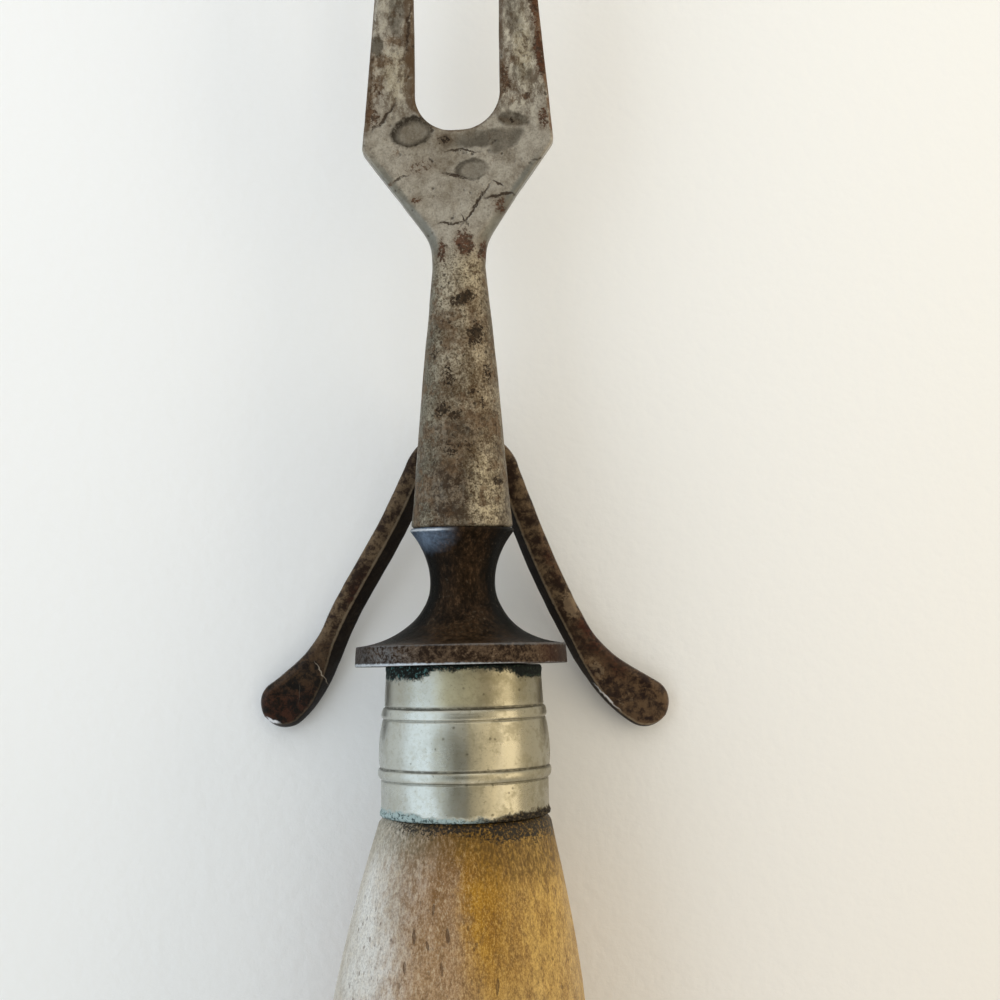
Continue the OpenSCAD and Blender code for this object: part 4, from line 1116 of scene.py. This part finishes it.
def nickelPaint(name):
    material, root, spot = startPaint(name)
    x, depth, groove = spot.part("X"), root.mark("depth"), root.mark("groove")
    tarnish = spot.cloud(5, 5, 0.6)
    fine = spot.cloud(0.7, 5, 0.6)
    scratch = spot.stretch(1, 6, 1).cloud(1.4, 4, 0.7)
    # painted light: cooler on the left and warm yellow on the right, the colours of the lights on those
    # sides
    warmLitSide = (x + 7 * (tarnish - 0.5)).step(-5, 4)
    colour = root.blend(warmLitSide, tone(180, 183, 177), tone(164, 157, 136))
    # painted shade and dark reflections: the top band under the flange, a dark band down the middle of the
    # barrel, and the right side
    shade = spot.oval((-2.0, -11.5, 9), (1.7, 6.0, 5), 0, 0.3) * depth.step(6, 8)
    paintedShade = depth.fade(3.6, 5.2) * (1 + 0.9 * x.step(1, 3)) + 1.3 * shade
    paintedShade = paintedShade.most(0.9 * x.step(5.6, 6.2) * x.fade(7.6, 9.0))
    colour = colour.coat(0.35 * paintedShade.most(0.5 * x.step(4.2, 4.8)), (118, 111, 88))
    frontTop = depth.fade(4.0, 5.0) * abs(x + 0.5).fade(1.0, 3.4)
    colour = colour.coat(0.85 * frontTop, (182, 174, 142))
    # painted highlight: a lighter band just right of the middle of the barrel and the lower band
    paintedGleam = x.step(0.0, 1.0) * x.fade(3.2, 4.2) * depth.step(5.4, 6.0)
    colour = colour.coat(0.8 * paintedGleam, (204, 194, 166))
    colour = colour.coat(0.25 * fine.fade(0.36, 0.5), (150, 144, 122))
    colour = colour.coat(0.3 * spot.cloud(0.3, 4, 0.7).fade(0.32, 0.42), (100, 95, 78))
    # smudges and a few dark pits break up the shine
    smudge = spot.cloud(2.4, 7, 0.72).fade(0.4, 0.54) * (0.14 + 0.3 * x.step(-2, 3))
    colour = colour.coat(smudge, (112, 104, 76))
    dot = spot.wander(0.5, 0.2).cells(1.7).fade(0.05, 0.13)
    colour = colour.coat(0.6 * dot, (66, 60, 44))
    # dark crust under the flange, deep at the sides and thin at the front
    ragged, crumb = spot.cloud(1.1, 6, 0.7), spot.cloud(0.35, 4, 0.7)
    deep = 0.45 + 0.9 * (0 - x).step(3.0, 5.0) + 0.9 * x.step(5.0, 6.6)
    top = (depth - 2.0 * (ragged - 0.42) - 1.4 * (crumb - 0.5) - deep).fade(-0.25, 0.25)
    green = (0 - x).shades(-1.0, 4.0, (54, 68, 56), (84, 122, 120))
    colour = colour.coat(top, root.blend(crumb.step(0.53, 0.66), tone(17, 21, 17), green))
    # at the handle: pale blue-green crust on the left, dark dirt on the right
    uneven = depth + 1.4 * (ragged - 0.5) + 0.9 * (crumb - 0.5)
    low = (uneven + 0.5 * abs(x).step(3.0, 7.0)).step(16.35, 16.75)
    paleCrust = crumb.shades(0.4, 0.52, (58, 72, 72), (150, 167, 166))
    darkDirt = crumb.shades(0.5, 0.6, (26, 20, 13), (84, 72, 50))
    colour = colour.coat(low, root.blend(x.step(-1.0, 4.0), paleCrust, darkDirt))
    crust = top.most(low)
    # dirt and painted shade in the grooves beside the beads, darker above each bead
    colour = colour.coat(0.8 * groove * (0.4 + 0.6 * fine.step(0.36, 0.56)), (60, 55, 42))
    rough = (0.18 + 0.12 * tarnish + 0.08 * scratch + 0.45 * crust + 0.2 * groove + 0.3 * smudge
             + 0.2 * frontTop)
    endPaint(root, 0.05 * fine + 0.03 * scratch + 0.25 * crust * crumb, 0.4,
             {"Base Color": colour, "Roughness": rough, "Metallic": 0.92 - 0.87 * crust, "IOR": 1.25})
    return material


# pits in the antler, given in the same way
antlerMarks = [((-5.8, -30.4, 11), (0.16, 0.8, 4), 0, 1.0), ((-2.0, -30.3, 12), (0.18, 0.8, 4), 4, 1.0),
               ((-4.3, -31.4, 11), (0.14, 0.5, 4), 10, 0.9), ((-3.6, -27.4, 11), (0.12, 0.6, 4), -6, 0.8),
               ((-6.9, -33.8, 11), (0.13, 0.6, 4), 0, 0.8), ((-2.7, -34.0, 12), (0.13, 0.7, 4), 5, 0.7),
               ((3.5, -36.0, 12), (0.15, 0.9, 4), -4, 0.8), ((1.0, -40.0, 12), (0.15, 1.0, 4), 0, 0.8)]


def antlerPaint(name, pitMarks):
    material, root, spot = startPaint(name)
    x, y, z, furrow = spot.part("X"), spot.part("Y"), spot.part("Z"), root.mark("furrow")
    depth = -handleSizes["start"] - y  # mm from the ferrule
    grain = spot.stretch(1, 0.4, 1)
    fleck = grain.cloud(0.3, 4, 0.7)
    coarse = grain.cloud(0.8, 5, 0.7)
    broad = spot.stretch(1, 0.3, 1).cloud(7, 5, 0.6)
    wavy = x + 4.0 * (grain.cloud(5, 7, 0.7) - 0.5)
    # pale on the left, pinkish brown in the middle, amber right of the ridge: partly the antler's own
    # colours and partly painted light, a sheen that lightens the left side and the middle up to the ridge
    amber = broad.shades(0.38, 0.62, (138, 96, 12), (166, 121, 32))
    amber = amber.coat(wavy.step(2.5, 9.0), (184, 148, 76))
    amber = amber.coat(wavy.step(9.0, 13.5), (182, 154, 104))
    amber = amber.coat(0.45 * depth.step(11, 24), (180, 148, 92))
    brown = depth.shades(8, 24, (126, 91, 48), (164, 132, 92))
    brown = brown.coat(broad.step(0.4, 0.66), (160, 130, 98))
    pale = broad.shades(0.36, 0.64, (174, 167, 154), (202, 201, 196))
    bleachAndSheen = (0 - wavy - 0.16 * depth.least(26) + 6.0 * (coarse - 0.5)).step(1.6, 9.8) * z.step(-8, 1)
    brown = brown.coat(bleachAndSheen, pale)
    lean = 0.2 * (depth - 11).most(0).least(14)
    ridge = (wavy + 0.7 - lean + 3.0 * (coarse - 0.5)) / (1.3 + 0.16 * (depth - 9).most(0))
    # the split between the pinkish-brown side and the amber side follows the edge of the painted sheen
    colour = root.blend(ridge.step(-1, 1), brown, amber)
    golden = wavy.step(-4, 2)
    tan = (wavy + 0.16 * depth.least(26)).step(-9, -4)
    blotch = grain.cloud(2.4, 7, 0.7)
    colour = colour.coat(0.4 * golden * blotch.fade(0.4, 0.55), (118, 78, 26))
    colour = colour.coat((0.12 + 0.26 * tan) * coarse.fade(0.4, 0.52), (98, 68, 34))
    dashes = depth.fade(2.0, 9.0)
    colour = colour.coat((0.26 + 0.16 * tan + 0.3 * dashes * tan) * fleck.fade(0.32, 0.52), (88, 58, 26))
    colour = colour.coat((0.26 + 0.08 * golden) * fleck.step(0.5, 0.7), root.blend(
        golden, tone(226, 212, 184), tone(220, 182, 108)))
    grit = spot.stretch(1, 0.6, 1).cloud(0.17, 3, 0.7)
    colour = colour.coat((0.38 + 0.1 * bleachAndSheen) * grit.fade(0.36, 0.5), root.blend(
        bleachAndSheen, tone(66, 46, 18), tone(116, 107, 95)))
    colour = colour.coat((0.14 + 0.18 * golden) * grit.step(0.52, 0.64), root.blend(
        golden, tone(226, 216, 196), tone(214, 176, 104)))
    # farther down the grip, dark fibres and bleached ridges run along it, and the furrows hold dirt
    fibre = spot.stretch(1, 0.07, 1).wander(3, 0.6).cloud(1.5, 6, 0.65)
    down = depth.step(17, 40)
    colour = colour.coat(0.4 * down, (172, 150, 116))
    colour = colour.coat(0.5 * down * fibre.fade(0.4, 0.5), (108, 80, 50))
    colour = colour.coat(0.45 * down * fibre.step(0.52, 0.62), (206, 190, 158))
    colour = colour.coat(0.75 * furrow, fleck.shades(0.4, 0.6, (62, 42, 24), (104, 76, 46)))
    # dark stain that creeps out from under the ferrule, with black grains in it
    ragged = spot.cloud(1.6, 6, 0.7)
    near = depth - sagSlope[-1] * z  # the stain follows the sagging end of the ferrule
    stain = (near + 4.0 * (ragged - 0.5) - 2.6 * wavy.step(0.0, 4.0)).fade(0.8, 6.6)
    dirty = 0.62 + 0.38 * wavy.step(-9.0, -5.0)
    seep = 0.9 * stain * dirty * (0.5 + 0.5 * fleck.fade(0.4, 0.6))
    colour = colour.coat(seep, wavy.shades(-8, -2, (92, 88, 66), (86, 62, 14)))
    edge = (near + 3.6 * (ragged - 0.5) - 1.0 * wavy.step(1.0, 5.0)).fade(0.2, 3.8)
    grains = (0.43 * edge * dirty + spot.cloud(0.33, 4, 0.75)).step(0.81, 0.93)
    colour = colour.coat(0.92 * grains, (10, 8, 3))
    pits = spot.wander(0.6, 0.12).marks(pitMarks, 0.3)
    small = grain.wander(0.7, 0.2).cells(0.85).fade(0.08, 0.2) * broad.step(0.42, 0.6)
    colour = colour.coat((0.75 * pits).most(0.55 * small), (78, 54, 32))
    # spongy core in the middle of the butt
    aside = x + handleSizes["bend"]
    core = depth.step(98, 101) * root.calc("SQRT", aside * aside + z * z).fade(5.5, 8.0)
    pore = spot.wander(0.6, 0.2).cells(0.8).fade(0.2, 0.42)
    colour = colour.coat(core, root.blend(pore, tone(178, 150, 110), tone(70, 48, 30)))
    height = 0.07 * fleck + 0.06 * coarse - 0.3 * pits - 0.12 * small - 0.3 * pore * core
    endPaint(root, height, 0.9, {"Base Color": colour, "Roughness": 0.4 + 0.16 * fleck, "IOR": 1.28,
                                 "Coat Weight": 0.05, "Coat Roughness": 0.35})
    return material


def pitchPaint(name):
    material, root, spot = startPaint(name)
    lump = spot.cloud(1.5, 5)
    colour = lump.shades(0.3, 0.7, (38, 24, 14), (70, 48, 30))
    endPaint(root, 0.2 * lump, 0.6, {"Base Color": colour, "Roughness": 0.6 + 0.2 * lump})
    return material


steel = steelPaint("agedSteel", steelMarks)
showPiece("fork_steel", makeFork(forkSizes), steel, "fork_body", "fork")
showPiece("guard_bow", makeGuard(guardSizes), guardPaint("brownIron", guardMarks),
          "guard_body", "guard")
showPiece("bolster_iron", makeBolster(bolsterSizes), ironPaint("darkIron"),
          "fork_body", "bolster")
showPiece("ferrule_tube", makeFerrule(ferruleSizes), nickelPaint("nickelSilver"),
          "fork_body", "ferrule")
showPiece("antler_grip", makeHandle(handleSizes), antlerPaint("stagAntler", antlerMarks),
          "fork_body", "handle")
showPiece("guard_rivet", makeRivet(guardSizes), steel, "fork_body", "guard_pin")
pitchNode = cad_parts["tang_cement"]
pitchNode.data.materials.clear()
pitchNode.data.materials.append(pitchPaint("darkPitch"))
